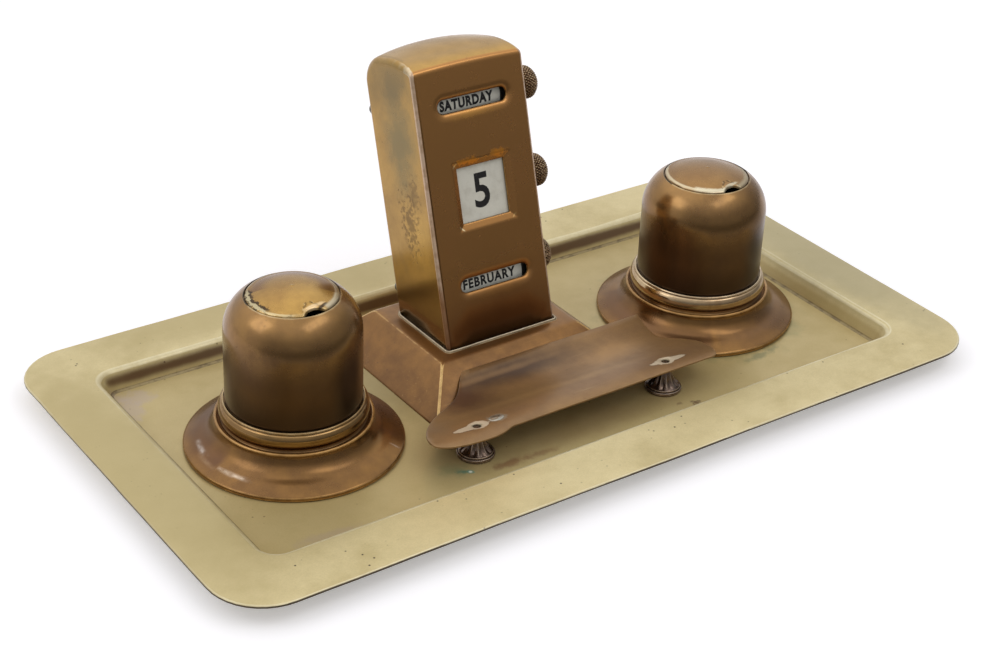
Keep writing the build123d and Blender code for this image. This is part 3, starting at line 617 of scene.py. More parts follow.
# By side: painted shade on each cap's wall, darker downwards and most of all at its front.
CAP_PAINTED_SHADE = {
    side: [
        ((side * INKWELL_X, 0, 26.0), (70.0, 70.0, 28.5), FLAT,
         0.5, 0.02, 40.0, (78, 56, 37), 0.85, 0.30),
        ((side * INKWELL_X, 0, 21.0), (70.0, 70.0, 13.0), FLAT,
         0.8, 0.03, 40.0, (52, 38, 26), 0.60, 0.30),
        ((side * INKWELL_X + 8, -23.0, 36.0), (9.0, 9.0, 22.0), FLAT,
         0.95, 0.08, 50.0, (44, 34, 28), 0.60, 0.30),
    ]
    for side in (-1, 1)
}

LEFT_LID_STAINS = [
    ((-92.6, -13.2, 62.0), (5.4, 1.3, 3.0), about_z(-10),
     0.6, 0.2, 300.0, (226, 196, 150), 0.9, 0.3),
    ((-89.6, -14.0, 62.0), (3.4, 0.7, 3.0), about_z(-24),
     0.5, 0.2, 300.0, (60, 44, 30), 0.9, 0.5),
]

RIGHT_LID_STAINS = [
    ((94.6, -13.4, 62.0), (4.8, 0.9, 3.0), about_z(-10),
     0.6, 0.2, 300.0, (206, 194, 166), 0.9, 0.3),
]

FOOT_STAINS = [
    ((-67.0, -26.5, 4.6), (2.6, 0.8, 2.0), about_z(44),
     0.8, 0.4, 420.0, (206, 188, 172), 0.4, 0.4),
]

FOOT_BANDS = [
    # darker parts of the skirts
    (-1, 33.5, 7.5, 130, 62, 0.9, 0.10, 90.0, (92, 64, 48), 0.70, 0.26),
    (-1, 33.5, 7.5, 10, 50, 0.9, 0.10, 90.0, (110, 76, 56), 0.50, 0.26),
    (1, 33.5, 7.5, 190, 55, 0.9, 0.10, 90.0, (92, 64, 46), 0.60, 0.26),
    (1, 33.5, 7.5, 280, 38, 0.9, 0.10, 90.0, (104, 76, 52), 0.45, 0.26),
    # painted highlights: pale arcs on their left sides
    (-1, 34.6, 1.6, 168, 11, 0.9, 0.28, 330.0, (240, 232, 224), 1.0, 0.30),
    (-1, 36.0, 1.2, 180, 12, 0.9, 0.20, 330.0, (214, 184, 150), 0.6, 0.30),
    (-1, 35.0, 1.3, 203, 14, 0.9, 0.28, 330.0, (232, 216, 196), 0.9, 0.30),
    (1, 36.5, 0.8, 214, 12, 0.9, 0.28, 330.0, (226, 206, 180), 0.5, 0.30),
]

REST_STAINS_AND_PAINTED_LIGHT = [
    # painted shade along the back, then broad tones of the sheet
    ((-8.0, -13.5, 10.0), (52.0, 10.0, 6.0), FLAT, 0.9, 0.12, 60.0, (66, 46, 32), 0.92, 0.36),
    ((20.0, -40.0, 12.0), (60.0, 8.0, 5.0), FLAT, 0.95, 0.15, 60.0, (128, 98, 76), 0.30, 0.40),
    ((-35.0, -20.0, 10.0), (20.0, 13.0, 6.0), about_z(20),
     0.95, 0.22, 90.0, (82, 56, 44), 0.80, 0.34),
    ((-56.0, -38.0, 10.0), (12.0, 12.0, 6.0), FLAT,
     0.95, 0.2, 90.0, (138, 112, 84), 0.60, 0.38),
    # a painted highlight band across the middle of the sheet
    ((4.0, -33.0, 10.0), (60.0, 3.6, 6.0), about_z(2),
     0.95, 0.22, 90.0, (190, 150, 96), 0.30, 0.34),
    ((34.0, -22.0, 10.0), (22.0, 10.0, 6.0), about_z(-12),
     0.95, 0.25, 110.0, (184, 140, 82), 0.50, 0.34),
    # a painted highlight line near the back
    ((-14.0, -12.0, 10.0), (44.0, 2.2, 6.0), FLAT, 0.9, 0.2, 90.0, (176, 136, 88), 0.30, 0.32),
    # bare metal round the holes, with a dark outline
    ((-45.0, -41.9, 13.0), (8.4, 2.1, 3.0), about_z(3),
     0.10, 0.10, 500.0, (96, 68, 44), 0.7, 0.48),
    ((-45.0, -41.9, 13.0), (8.0, 1.7, 3.0), about_z(3), 0.08, 0.10, 500.0, BARE, 0.95, 0.48),
    ((-42.2, -41.7, 13.0), (4.2, 2.9, 3.0), about_z(3), 0.08, 0.12, 500.0, BARE, 0.95, 0.48),
    ((44.5, -42.0, 13.0), (8.8, 2.0, 3.0), about_z(3),
     0.10, 0.10, 500.0, (96, 68, 44), 0.7, 0.48),
    ((44.5, -42.0, 13.0), (8.4, 1.6, 3.0), about_z(3), 0.08, 0.10, 500.0, BARE, 0.95, 0.48),
    ((43.2, -41.8, 13.0), (4.4, 2.8, 3.0), about_z(3), 0.08, 0.12, 500.0, BARE, 0.95, 0.48),
    ((-43.1, -42.0, 13.0), (2.6, 2.2, 3.0), FLAT, 0.5, 0.10, 500.0, (120, 112, 78), 0.6, 0.48),
    ((43.1, -42.0, 13.0), (2.6, 2.2, 3.0), FLAT, 0.5, 0.10, 500.0, (120, 112, 78), 0.6, 0.48),
    ((-33.9, -41.3, 13.0), (4.6, 3.0, 3.0), about_z(3),
     0.3, 0.2, 400.0, (150, 134, 112), 0.8, 0.48),
]

CASE_STAINS_AND_PAINTED_LIGHT = [
    # the side and the face as a whole
    (case_place(-CASE_HALF, 17, 2), (3.0, 60.0, 27.0), LEAN,
     0.35, 0.05, 60.0, (128, 94, 46), 0.80, 0.22),
    (case_place(0, 0, 52), (120.0, 1.7, 180.0), LEAN,
     0.5, 0.02, 60.0, (186, 124, 78), 0.55, 0.30),
    # clouds and old scratches on the left side
    (case_place(-CASE_HALF, 14, 80), (3.0, 15.0, 30.0), LEAN,
     0.90, 0.25, 90.0, (122, 110, 76), 0.80, 0.32),
    (case_place(-CASE_HALF, 10, 44), (3.0, 12.0, 18.0), LEAN,
     0.95, 0.30, 150.0, (214, 172, 88), 0.60, 0.3),
    (case_place(-CASE_HALF, 15, 102), (3.0, 22.0, 17.0), LEAN,
     0.9, 0.15, 90.0, (118, 102, 68), 0.80, 0.3),
    (case_place(-CASE_HALF, 28, 97), (3.0, 9.0, 16.0), LEAN,
     0.95, 0.20, 110.0, (128, 104, 62), 0.45, 0.3),
    (case_place(-CASE_HALF, 15, 48), (3.0, 6.0, 13.0), LEAN,
     0.9, 0.95, 620.0, (92, 68, 36), 0.60, 0.4),
    (case_place(-CASE_HALF, 9, 60), (3.0, 4.0, 9.0), LEAN,
     0.9, 0.9, 480.0, (104, 80, 44), 0.50, 0.4),
    # orange above the square window, and painted highlights on its mitred corners
    (case_place(-5, 0, 69.4), (7.5, 2.0, 2.1), LEAN,
     0.8, 0.45, 520.0, (240, 158, 60), 0.95, 0.3),
    (case_place(8.5, 0, 70.0), (5.0, 2.0, 2.1), LEAN,
     0.8, 0.45, 520.0, (240, 158, 60), 0.95, 0.3),
    (case_place(-11.2, 0.2, 44.6), (0.4, 1.5, 1.9), (LEAN_DEGREES, 45, 0),
     0.5, 0.05, 300.0, (250, 226, 180), 0.95, 0.24),
    (case_place(12.6, 0.2, 44.6), (0.35, 1.5, 1.6), (LEAN_DEGREES, -45, 0),
     0.5, 0.05, 300.0, (226, 184, 120), 0.8, 0.24),
    (case_place(-11.2, 0.2, 68.6), (0.45, 1.5, 1.7), (LEAN_DEGREES, -45, 0),
     0.5, 0.05, 300.0, (240, 206, 150), 0.9, 0.24),
    # a painted highlight under each slot, painted shade at the foot of the face, and a dark line
    # beside the left front edge
    (case_place(0, 0, 86.6), (15.0, 2.0, 2.4), LEAN,
     0.9, 0.15, 300.0, (226, 166, 84), 0.55, 0.3),
    (case_place(2, 0, 17.8), (15.0, 2.0, 2.6), LEAN,
     0.9, 0.15, 300.0, (226, 160, 84), 0.50, 0.3),
    (case_place(0, 0, 0), (60.0, 2.0, 38.0), LEAN, 0.95, 0.05, 60.0, (98, 66, 40), 0.85, 0.46),
    (case_place(-23.1, 0, 50), (0.30, 0.8, 66.0), LEAN,
     0.5, 0.06, 300.0, (44, 32, 20), 0.80, 0.4),
]


BROWN = (92, 66, 44)
DEEP = (36, 26, 18)
PALE_EDGE = (232, 212, 166)
CAP_TONES = ((162, 124, 75), BROWN, DEEP, PALE_EDGE)
UPRIGHT = (0, math.radians(90), 0)
CAP_SKIN = dict(
    cloud_scale=22.0, cloud=0.52, specks=0.2, smooth=0.20, dull=0.32, edge_round=0.5,
    wear_and_sheen_share=0.35, scratch_turn=UPRIGHT, scratch=0.05, coat=0.1, bump=0.025,
)
COLLAR_SKIN = dict(
    cloud_scale=40.0, cloud=0.45, specks=0.15, smooth=0.14, dull=0.24, edge_round=0.35,
    wear_and_sheen_share=0.35, coat=0.1, dirt_and_shade=0.9, bump=0.02, scratch=0.0, metal=1.0,
)
BRASS_FINISHES = {
    "tray": dict(
        name="tray_brass",
        tones=((219, 202, 152), (190, 172, 120), (66, 48, 30), (250, 242, 208)),
        cloud_scale=22.0, cloud=0.47, specks=1.0, smooth=0.34, dull=0.46, edge_round=2.3,
        wear_and_sheen_share=0.5, ragged=0.3, stains_and_shading=TRAY_STAINS_AND_SHADE, scratch=0.08, bump=0.05, metal=0.32,
        dirt_and_shade=0.75,
    ),
    # painted shade for the rim's outer side face
    "tray_edge_shade": dict(
        name="tray_edge_shade_brass",
        tones=((92, 76, 60), (70, 56, 44), (30, 24, 20), (196, 182, 150)),
        cloud_scale=60.0, cloud=0.5, specks=0.4, smooth=0.34, dull=0.5, edge_round=0.5,
        wear_and_sheen_share=0.4, metal=0.7,
    ),
    "plinth": dict(
        name="plinth_brass", tones=((142, 102, 56), (102, 70, 40), DEEP, (226, 186, 116)),
        cloud_scale=38.0, cloud=0.5, specks=0.4, smooth=0.30, dull=0.42, edge_round=1.5,
        wear_and_sheen_share=0.85, shift=0.3, metal=0.8, coat=0.1, dirt_and_shade=0.3,
    ),
    "lip": dict(
        name="plinth_lip_brass", tones=((178, 158, 122), (128, 102, 70), DEEP, (224, 210, 184)),
        cloud_scale=160.0, cloud=0.5, specks=0.2, smooth=0.3, dull=0.5, edge_round=0.4,
        wear_and_sheen_share=0.8, shift=0.1, metal=0.6, dirt_and_shade=0.9,
    ),
    "rest": dict(
        name="rest_brass", tones=((158, 122, 76), (128, 96, 62), DEEP, (222, 194, 146)),
        cloud_scale=30.0, cloud=0.55, specks=0.35, smooth=0.38, dull=0.46, edge_round=0.35,
        wear_and_sheen_share=0.12, shift=0.9, stains_and_shading=REST_STAINS_AND_PAINTED_LIGHT, scratch=0.15, metal=0.5, coat=0.05,
    ),
    "left_cap": dict(
        name="left_cap_brass", tones=CAP_TONES, shift=0.7, bands=GAP_SHADE_BANDS[-1],
        stains_and_shading=CAP_PAINTED_SHADE[-1], **CAP_SKIN,
    ),
    "right_cap": dict(
        name="right_cap_brass", tones=CAP_TONES, shift=3.6, bands=GAP_SHADE_BANDS[1],
        stains_and_shading=CAP_PAINTED_SHADE[1], **CAP_SKIN,
    ),
    "left_lid": dict(
        name="left_lid_brass", tones=((192, 154, 82), (140, 104, 56), DEEP, PALE_EDGE),
        bands=LEFT_LID_BANDS, stains_and_shading=LEFT_LID_STAINS, shift=1.7, **CAP_SKIN,
    ),
    "right_lid": dict(
        name="right_lid_brass", tones=((164, 126, 76), (122, 90, 54), DEEP, PALE_EDGE),
        bands=RIGHT_LID_BANDS, stains_and_shading=RIGHT_LID_STAINS, shift=2.2, **CAP_SKIN,
    ),
    "foot": dict(
        name="foot_brass", tones=((149, 110, 62), (98, 70, 44), DEEP, (214, 166, 96)),
        cloud_scale=24.0, cloud=0.54, specks=0.2, smooth=0.20, dull=0.30, edge_round=0.7,
        wear_and_sheen_share=0.5, shift=0.5, stains_and_shading=FOOT_STAINS, bands=FOOT_BANDS, scratch=0.06,
        metal=0.95, coat=0.05, dirt_and_shade=0.6, bump=0.015,
    ),
    "collar": dict(
        name="collar_brass", tones=((156, 122, 76), (108, 82, 52), DEEP, PALE_EDGE), shift=0.4,
        **COLLAR_SKIN,
    ),
    # the right collar is paler: a painted highlight
    "lit_right_collar": dict(
        name="lit_right_collar_brass", tones=((198, 174, 138), (146, 112, 78), DEEP, (236, 224, 200)),
        shift=1.4, **COLLAR_SKIN,
    ),
    "case": dict(
        name="case_brass",
        tones=((181, 143, 77), (150, 116, 62), (58, 42, 24), (255, 248, 228)),
        cloud_scale=26.0, cloud=0.40, specks=0.3, smooth=0.20, dull=0.28, edge_round=1.2,
        wear_and_sheen_share=0.9, ragged=0.3, shift=1.1, scratch=0.05, scratch_turn=UPRIGHT,
        stains_and_shading=CASE_STAINS_AND_PAINTED_LIGHT, coat=0.05, dirt_and_shade=0.25,
    ),
    "knob": dict(
        name="knob_brass", tones=((122, 86, 60), (74, 50, 38), (20, 14, 12), (232, 206, 160)),
        cloud_scale=120.0, cloud=0.5, specks=0.2, smooth=0.26, dull=0.40, edge_round=0.22,
        wear_and_sheen_share=0.6, ragged=0.2, shift=1.9, dirt_and_shade=1.0,
    ),
    "rest_foot": dict(
        name="rest_foot_brass",
        tones=((112, 92, 78), (64, 50, 44), (20, 15, 14), (206, 184, 160)),
        cloud_scale=160.0, cloud=0.5, specks=0.3, smooth=0.20, dull=0.34, edge_round=0.5,
        wear_and_sheen_share=0.45, shift=2.3, coat=0.3, dirt_and_shade=0.8,
    ),
}


def make_materials():
    """Every finish of the object, by name."""
    made = {key: old_brass(**finish) for key, finish in BRASS_FINISHES.items()}
    made["steel"] = plain_metal("screw_steel", srgb(150, 146, 138), 0.36)
    made["tin"] = plain_metal("movement_tin", srgb(168, 164, 154), 0.42)
    made["solder"] = plain_metal("solder_grey", srgb(176, 172, 160), 0.34, 900.0)
    made["paper"] = printed_paper("band_paper", srgb(222, 220, 208), 0.25)
    made["ink"] = printing_ink("band_ink")
    made["wood"] = turned_wood("roller_beech")
    made["glass"] = ink_glass("liner_glass")
    return made


materials = make_materials()

CAD_FINISH = {
    "left_cap": ["lid_seat_left"],
    "right_cap": ["lid_seat_right"],
    "glass": ["glass_liner_left", "glass_liner_right"],
    "case": ["back_cover"],
    "knob": ["friction_washers"],
    "steel": [
        "cover_screws", "frame_screws", "weekday_spindle", "month_spindle", "date_spindle",
        "date_return_spindle",
    ],
    "tin": [
        "base_plate", "frame_left", "frame_right", "frame_pillars", "date_platen", "date_guides",
        "weekday_drum", "month_drum",
    ],
    "wood": ["date_roller", "date_return_roller"],
    "paper": ["weekday_band", "month_band", "date_strip", "date_roll", "date_return_roll"],
}


def finish_cad_nodes():
    """The inner pieces keep the frame's meshes and get their own finishes."""
    for finish, names in CAD_FINISH.items():
        for name in names:
            mesh = nodes[name].data
            mesh.materials.clear()
            mesh.materials.append(materials[finish])


finish_cad_nodes()


# ---------------------------------------------------------------- mesh helpers

def add_object(name, mesh, finish):
    """Puts a mesh in the scene under a name, in one finish."""
    piece = bpy.data.objects.new(name, mesh)
    bpy.context.scene.collection.objects.link(piece)
    mesh.materials.append(materials[finish])
    return piece


def smooth(mesh, sharp_above=50.0):
    """Shades the mesh smooth, apart from edges that bend by more than an angle."""
    mesh.shade_smooth()
    mesh.set_sharp_from_angle(angle=math.radians(sharp_above))


def mark_bends(bm):
    """Stores at each point one over the bend's radius in millimetres, below 0 in a hollow."""
    layer = bm.verts.layers.float.new("bend")
    areas = [face.calc_area() for face in bm.faces]
    for edge in bm.edges:
        length = edge.calc_length()
        if len(edge.link_faces) != 2 or length < 1e-8:
            continue
        width = sum(areas[face.index] for face in edge.link_faces) / (2 * length) / MM
        bend = edge.calc_face_angle_signed(0.0) / max(width, 0.02)
        for vert in edge.verts:
            if abs(bend) > abs(vert[layer]):
                vert[layer] = bend


def mesh_from(name, points, faces, finish, sharp_above=50.0):
    """A mesh from points in millimetres."""
    mesh = bpy.data.meshes.new(name)
    mesh.from_pydata([Vector(p) * MM for p in points], [], faces)
    mesh.validate()
    bm = bmesh.new()
    bm.from_mesh(mesh)
    bmesh.ops.recalc_face_normals(bm, faces=bm.faces)
    bm.faces.index_update()
    mark_bends(bm)
    bm.to_mesh(mesh)
    bm.free()
    smooth(mesh, sharp_above)
    return add_object(name, mesh, finish)


def spare_wear_sheen_dirt_shade(mesh, chosen, share):
    """Lowers the stored bends where a place, in millimetres, is one of the chosen."""
    for vert, mark in zip(mesh.vertices, mesh.attributes["bend"].data):
        if chosen(vert.co / MM):
            mark.value *= share


def rounded_line(corners, closed=True, arc_step=12.0):
    """Points along a line whose corners, each (a, b, radius), are rounded."""
    count = len(corners)
    points = []
    for i, (a, b, radius) in enumerate(corners):
        here = Vector((a, b))
        if not closed and i in (0, count - 1):
            points.append(here)
            continue
        before = Vector(corners[i - 1][:2]) - here
        after = Vector(corners[(i + 1) % count][:2]) - here
        if radius <= 0 or before.length == 0 or after.length == 0:
            points.append(here)
            continue
        angle = before.angle(after)
        turn = math.pi - angle
        cut = min(radius * math.tan(turn / 2), before.length * 0.49, after.length * 0.49)
        if turn < 0.02 or cut <= 0:
            points.append(here)
            continue
        true_radius = cut / math.tan(turn / 2)
        entry = here + before.normalized() * cut
        middle = here + (before.normalized() + after.normalized()).normalized() * math.hypot(
            cut, true_radius
        )
        spoke = entry - middle
        sign = 1 if before.x * after.y - before.y * after.x < 0 else -1
        steps = max(2, int(math.degrees(turn) / arc_step) + 1)
        for k in range(steps + 1):
            theta = sign * turn * k / steps
            c, s = math.cos(theta), math.sin(theta)
            points.append(middle + Vector((spoke.x * c - spoke.y * s, spoke.x * s + spoke.y * c)))
    return points


def through(points, per_span=6):
    """A smooth line through points."""
    line = []
    last = len(points) - 1
    for i in range(last):
        p0 = points[max(i - 1, 0)]
        p1, p2 = points[i], points[i + 1]
        p3 = points[min(i + 2, last)]
        for k in range(per_span):
            t = k / per_span
            line.append(tuple(
                0.5 * (
                    2 * b + (c - a) * t + (2 * a - 5 * b + 4 * c - d) * t * t
                    + (3 * b - a - 3 * c + d) * t**3
                )
                for a, b, c, d in zip(p0, p1, p2, p3)
            ))
    line.append(tuple(points[last]))
    return line


def join_rounds(around, count, closed):
    """Faces over a number of equal lines of points that stand round an axis."""
    faces = []
    for k in range(around):
        here, there = k * count, (k + 1) % around * count
        for i in range(count if closed else count - 1):
            j = (i + 1) % count
            faces.append((here + i, here + j, there + j, there + i))
    return faces


def spaced(line, step):
    """Points along an open line, about one step apart."""
    points = []
    for a, b in zip(line, line[1:]):
        count = max(1, round((b - a).length / step))
        points += [a.lerp(b, k / count) for k in range(count)]
    points.append(line[-1])
    return points


def turned_mesh(name, section, centre, finish, around=144, wave=None, sharp_above=50.0):
    """A closed half section, (radius, height) pairs, turned about an upright axis."""
    points = []
    for k in range(around):
        theta = 2 * math.pi * k / around
        for r, z in section:
            if wave:
                r, z = wave(theta, r, z)
            points.append((centre[0] + r * math.cos(theta), centre[1] + r * math.sin(theta), z))
    faces = join_rounds(around, len(section), closed=True)
    return mesh_from(name, points, faces, finish, sharp_above)


# ---------------------------------------------------------------- tray and plinth

def ring(x_half, front, back, front_radius, back_radius, z, steps=(26, 14), arc=10):
    """A rounded rectangle at one height, anticlockwise from its front left corner."""
    corners = (
        (-x_half + front_radius, front + front_radius, front_radius, 180),
        (x_half - front_radius, front + front_radius, front_radius, 270),
        (x_half - back_radius, back - back_radius, back_radius, 0),
        (-x_half + back_radius, back - back_radius, back_radius, 90),
    )
    arcs = []
    for x, y, radius, start in corners:
        angles = [math.radians(start + 90 * k / arc) for k in range(arc + 1)]
        arcs.append([
            Vector((x + radius * math.cos(a), y + radius * math.sin(a), z)) for a in angles
        ])
    points = []
    for i, corner in enumerate(arcs):
        points += corner
        end = arcs[(i + 1) % 4][0]
        count = steps[i % 2]
        points += [corner[-1].lerp(end, k / count) for k in range(1, count)]
    return points


def ring_loft(name, rings, finish, closed, sharp_above=50.0):
    """A skin over rings; the first and last meet, or each gets a flat face."""
    size = len(rings[0])
    points = [p for loop in rings for p in loop]
    faces = []
    spans = len(rings) if closed else len(rings) - 1
    for i in range(spans):
        low, high = i * size, (i + 1) % len(rings) * size
        for k in range(size):
            n = (k + 1) % size
            faces.append((low + k, low + n, high + n, high + k))
    if not closed:
        last = (len(rings) - 1) * size
        faces.append(tuple(range(size)))
        faces.append(tuple(range(last + size - 1, last - 1, -1)))
    return mesh_from(name, points, faces, finish, sharp_above)


def hand_wave(point, scale, amount, seed=0.0):
    """A small unevenness that varies slowly from place to place."""
    return amount * noise.noise(Vector(point) * scale + Vector((seed, seed * 1.7, seed * 0.6)))


def tray_section():
    """The tray's sheet as (inset, height): well, wall, rim, and back under the sheet."""
    section = rounded_line([
        (36.0, TRAY_FLOOR, 0), (27.9, TRAY_FLOOR, 1.6), (23.8, RIM_TOP, 3.2), (0.0, RIM_TOP, 0.55),
        (0.0, RIM_BASE, 0.35), (22.6, RIM_BASE, 1.2), (26.7, 0.0, 2.0), (36.0, 0.0, 0),
    ], closed=False)
    spread = []
    for a, b in zip(section, section[1:]):
        spread.append(a)
        if abs(a.x - b.x) > 9:
            spread += [a.lerp(b, k / 3) for k in (1, 2)]
    spread.append(section[-1])
    return spread


def make_tray():
    """One pressed sheet: a wide rim, slightly uneven by hand, round a sunk well."""
    half_length, half_width, corner = 165.0, 90.1, 21.0
    rings = []
    for inset, z in tray_section():
        radius = corner - 0.46 * inset if inset < 20 else max(31.8 - inset, 1.5)
        front = inset - half_width
        loop = ring(half_length - inset, front, half_width - inset, radius, radius, z)
        for p in loop:
            # the rim waves a little, and its outer edge isn't quite straight
            if inset < 23:
                p.z = min(p.z + hand_wave(p, 0.016, 0.35), 8.95)
            if inset < 1:
                p.x -= math.copysign(0.12 + hand_wave(p, 0.05, 0.22), p.x)
                p.y -= math.copysign(0.12 + hand_wave(p, 0.05, 0.22, 4.0), p.y)
        rings.append(loop)
    tray = ring_loft("tray_sheet", rings, "tray", closed=False, sharp_above=60)
    tray.data.materials.append(materials["tray_edge_shade"])
    # painted shade on the rim's outer side face
    for face in tray.data.polygons:
        low = 7.5 * MM < face.center.z < 8.5 * MM
        face.material_index = 1 if low and abs(face.normal.z) < 0.5 else 0
    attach(tray, "base")
    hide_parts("tray")


def hip_ring(z, inset, radius):
    """The plinth's four slopes at a height, drawn in square to each slope by an inset."""
    share = (PLINTH_TOP - z) / (PLINTH_TOP - TRAY_FLOOR)
    # each: at the top, what it gains by the foot, and the run for an inset of 1
    x_half = 31.5 + 15.2 * share - inset * 1.52
    front = -2.0 - 20.2 * share + inset * 1.83
    back = 46.0 + 13.0 * share - inset * 1.40
    return ring(x_half, front, back, radius, radius, z, steps=(12, 12), arc=6)


def lip_ring(margin, z):
    """The plinth's opening at a height, grown by a margin."""
    x_half, front, back = 25.0 + margin, 3.7 - margin, 40.0 + margin
    grown = max(margin, 0)
    return ring(x_half, front, back, 1.2 + grown, 4.3 + grown, z, steps=(12, 12), arc=6)


def make_plinth():
    """A hipped shell with an upturned lip round the case, and its inner side."""
    top = PLINTH_TOP
    slopes = [hip_ring(1.25, 0.22, 0.8), hip_ring(1.5, 0.06, 0.9)]
    slopes += [hip_ring(z, 0.0, 0.9) for z in (2.0, 4.0, 6.5, 9.0, 11.5, 13.3)]
    slopes += [hip_ring(13.85, 0.06, 1.0), hip_ring(14.2, 0.20, 1.2), hip_ring(top, 0.75, 1.6)]
    flat = [lip_ring(2.4, top), lip_ring(1.05, top + 0.02)]
    lip = [lip_ring(0.75, top + 0.14), lip_ring(0.62, top + 0.4), lip_ring(0.55, top + 0.62)]
    lip += [lip_ring(0.38, top + 0.7), lip_ring(0.16, top + 0.66)]
    inside_lip = [lip_ring(0.04, top + 0.5), lip_ring(0.0, top - 1.0)]
    under = [hip_ring(13.4, 1.2, 0.6), hip_ring(1.25, 1.0, 0.5)]
    for loop in slopes:
        for p in loop:
            p.z += hand_wave(p, 0.06, 0.12) if p.z > 1.6 else 0
    for loop in lip:
        for p in loop:
            p.z += min(hand_wave(p, 0.12, 0.22, 3.0), 0.0)
    rings = slopes + flat + lip + inside_lip + under
    plinth = ring_loft("plinth_shell", rings, "plinth", closed=True, sharp_above=50)
    spare_wear_sheen_dirt_shade(plinth.data, lambda point: point.z < 3.0, 0.0)
    plinth.data.materials.append(materials["lip"])
    size = len(rings[0])
    first_lip = len(slopes) + len(flat) - 1
    last_lip = first_lip + len(lip) + len(inside_lip)
    for i, face in enumerate(plinth.data.polygons):
        face.material_index = 1 if first_lip <= i // size < last_lip else 0
    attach(plinth, "base")
    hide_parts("plinth")


# ---------------------------------------------------------------- inkwells

def make_inkwell_foot(side, word):
    """A flared skirt that ends in a bead below the collar."""
    outer = through([
        (39.0, 3.25), (37.4, 3.95), (35.0, 5.0), (31.6, 6.35),
        (29.3, 8.4), (28.1, 10.6), (27.75, 11.9),
    ], 5)
    bead = [
        (28.15, 12.05), (28.6, 12.4), (28.75, 12.8), (28.6, 13.2), (28.2, 13.4), (27.7, 13.35),
        (27.1, 12.9), (26.4, 12.7), (26.0, 13.0), (25.9, 13.4),
    ]
    edge = [(39.3, 1.3), (39.75, 1.4), (39.9, 1.6), (39.9, 2.35), (39.75, 2.75), (39.4, 3.05)]
    inner = [
        (22.3, 13.4), (22.3, 12.2), (26.4, 11.6), (27.4, 9.2), (30.2, 5.9), (36.6, 3.3),
        (38.3, 1.25),
    ]
    section = edge + outer + bead + inner
    centre = (side * INKWELL_X, 0)

    def wave(theta, r, z):
        """The skirt's edge isn't quite round."""
        share = min(max((r - 28.0) / 10.0, 0.0), 1.0)
        shift = share * 0.30 * noise.noise(Vector((math.cos(theta), math.sin(theta), side * 2.0)))
        return min(r + min(shift, 0.0), 39.9), z

    foot = turned_mesh(f"inkwell_skirt_{word}", section, centre, "foot", 160, wave)
    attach(foot, "base")
    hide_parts(f"inkwell_foot_{word}")


def make_inkwell_collar(side, word):
    """A turned ring with a fine bead on top, and the spigot that stands inside the cap."""
    seat = [(22.3, 13.4), (25.9, 13.4), (25.9, 14.0), (26.15, 14.35)]
    belly = through([(26.55, 14.5), (26.95, 15.3), (27.0, 16.5), (26.75, 17.8), (26.1, 18.9)], 4)
    bead = [
        (25.75, 19.05), (25.62, 19.2), (25.75, 19.4), (25.8, 19.7), (25.6, 20.05), (25.3, 20.2),
        (25.0, 20.1), (24.9, 19.8), (24.9, 19.6),
    ]
    spigot = [(23.5, 19.6), (23.5, 28.4), (23.3, 28.6), (22.5, 28.6), (22.3, 28.4)]
    section = seat + belly + bead + spigot
    finish = "lit_right_collar" if side > 0 else "collar"
    collar = turned_mesh(f"collar_ring_{word}", section, (side * INKWELL_X, 0), finish, 160)
    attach(collar, "base")
    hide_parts(f"inkwell_collar_{word}")


def shoulder_line(inset, steps=16):
    """The cap's rounded shoulder from its wall up to its opening."""
    middle_radius, middle_height, opening = 8.6, 47.2, 16.8
    radius = 16.0 - inset
    last = math.acos((opening - middle_radius) / radius)
    angles = [last * k / steps for k in range(steps + 1)]
    return [
        (middle_radius + radius * math.cos(a), middle_height + radius * math.sin(a))
        for a in angles
    ]


def make_cap(side, word):
    """A straight wall and a round shoulder, a little out of true, and its inner side."""
    outer = [(24.15, 19.62), (24.45, 19.7), (24.6, 19.95)]
    outer += [(24.6, z) for z in (22.0, 26.0, 30.0, 34.0, 38.0, 42.0, 45.0)]
    outer += shoulder_line(0.0)
    inner = list(reversed(shoulder_line(0.8))) + [(23.8, 40.0), (23.8, 30.0), (23.8, 19.7)]

    def wave(theta, r, z):
        """The outer side sinks in by up to 0.2 between its foot and its opening."""
        if r < 24.0 and z < 47.0:
            return r, z
        place = Vector((math.cos(theta) * 1.3, math.sin(theta) * 1.3, z * 0.045 + side * 3.0))
        share = min(max((z - 20.0) / 6.0, 0.0), 1.0) * min(max((61.5 - z) / 6.0, 0.0), 1.0)
        return r - share * 0.22 * abs(noise.noise(place)), z

    finish = f"{word}_cap"
    cap = turned_mesh(f"cap_dome_{word}", outer + inner, (side * INKWELL_X, 0), finish, 160, wave)
    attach(cap, f"cap_{word}")
    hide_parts(f"inkwell_cap_{word}")


LID_RADIUS, LID_TOP, LID_SHEET = 16.4, 64.6, 0.8
LID_CROWN = 40.17
LID_ROUND = 192
LID_SHARES = [0.014, 0.022, 0.03, 0.04] + [k / 14 for k in range(1, 13)]
LID_SHARES += [0.885, 0.91, 0.93, 0.955, 0.975, 0.99, 1.0]
# How far the middle's mark and the raised rim stand above the dome, by share of the radius.
LID_LIFT = {
    0.014: 0.19, 0.022: 0.14, 0.03: 0.05, 0.91: 0.06, 0.93: 0.16, 0.955: 0.20, 0.975: 0.14,
    1.0: -0.25,
}


def lid_edge(theta):
    """The lid's radius in a direction, less the nail notch at its front."""
    from_front = math.atan2(math.sin(theta + math.pi / 2), math.cos(theta + math.pi / 2))
    reach, notch = 20.0, 6.0
    under = notch**2 - (reach * math.sin(from_front)) ** 2
    if abs(from_front) > math.pi / 2 or under <= 0:
        return LID_RADIUS
    return min(LID_RADIUS, reach * math.cos(from_front) - math.sqrt(under))


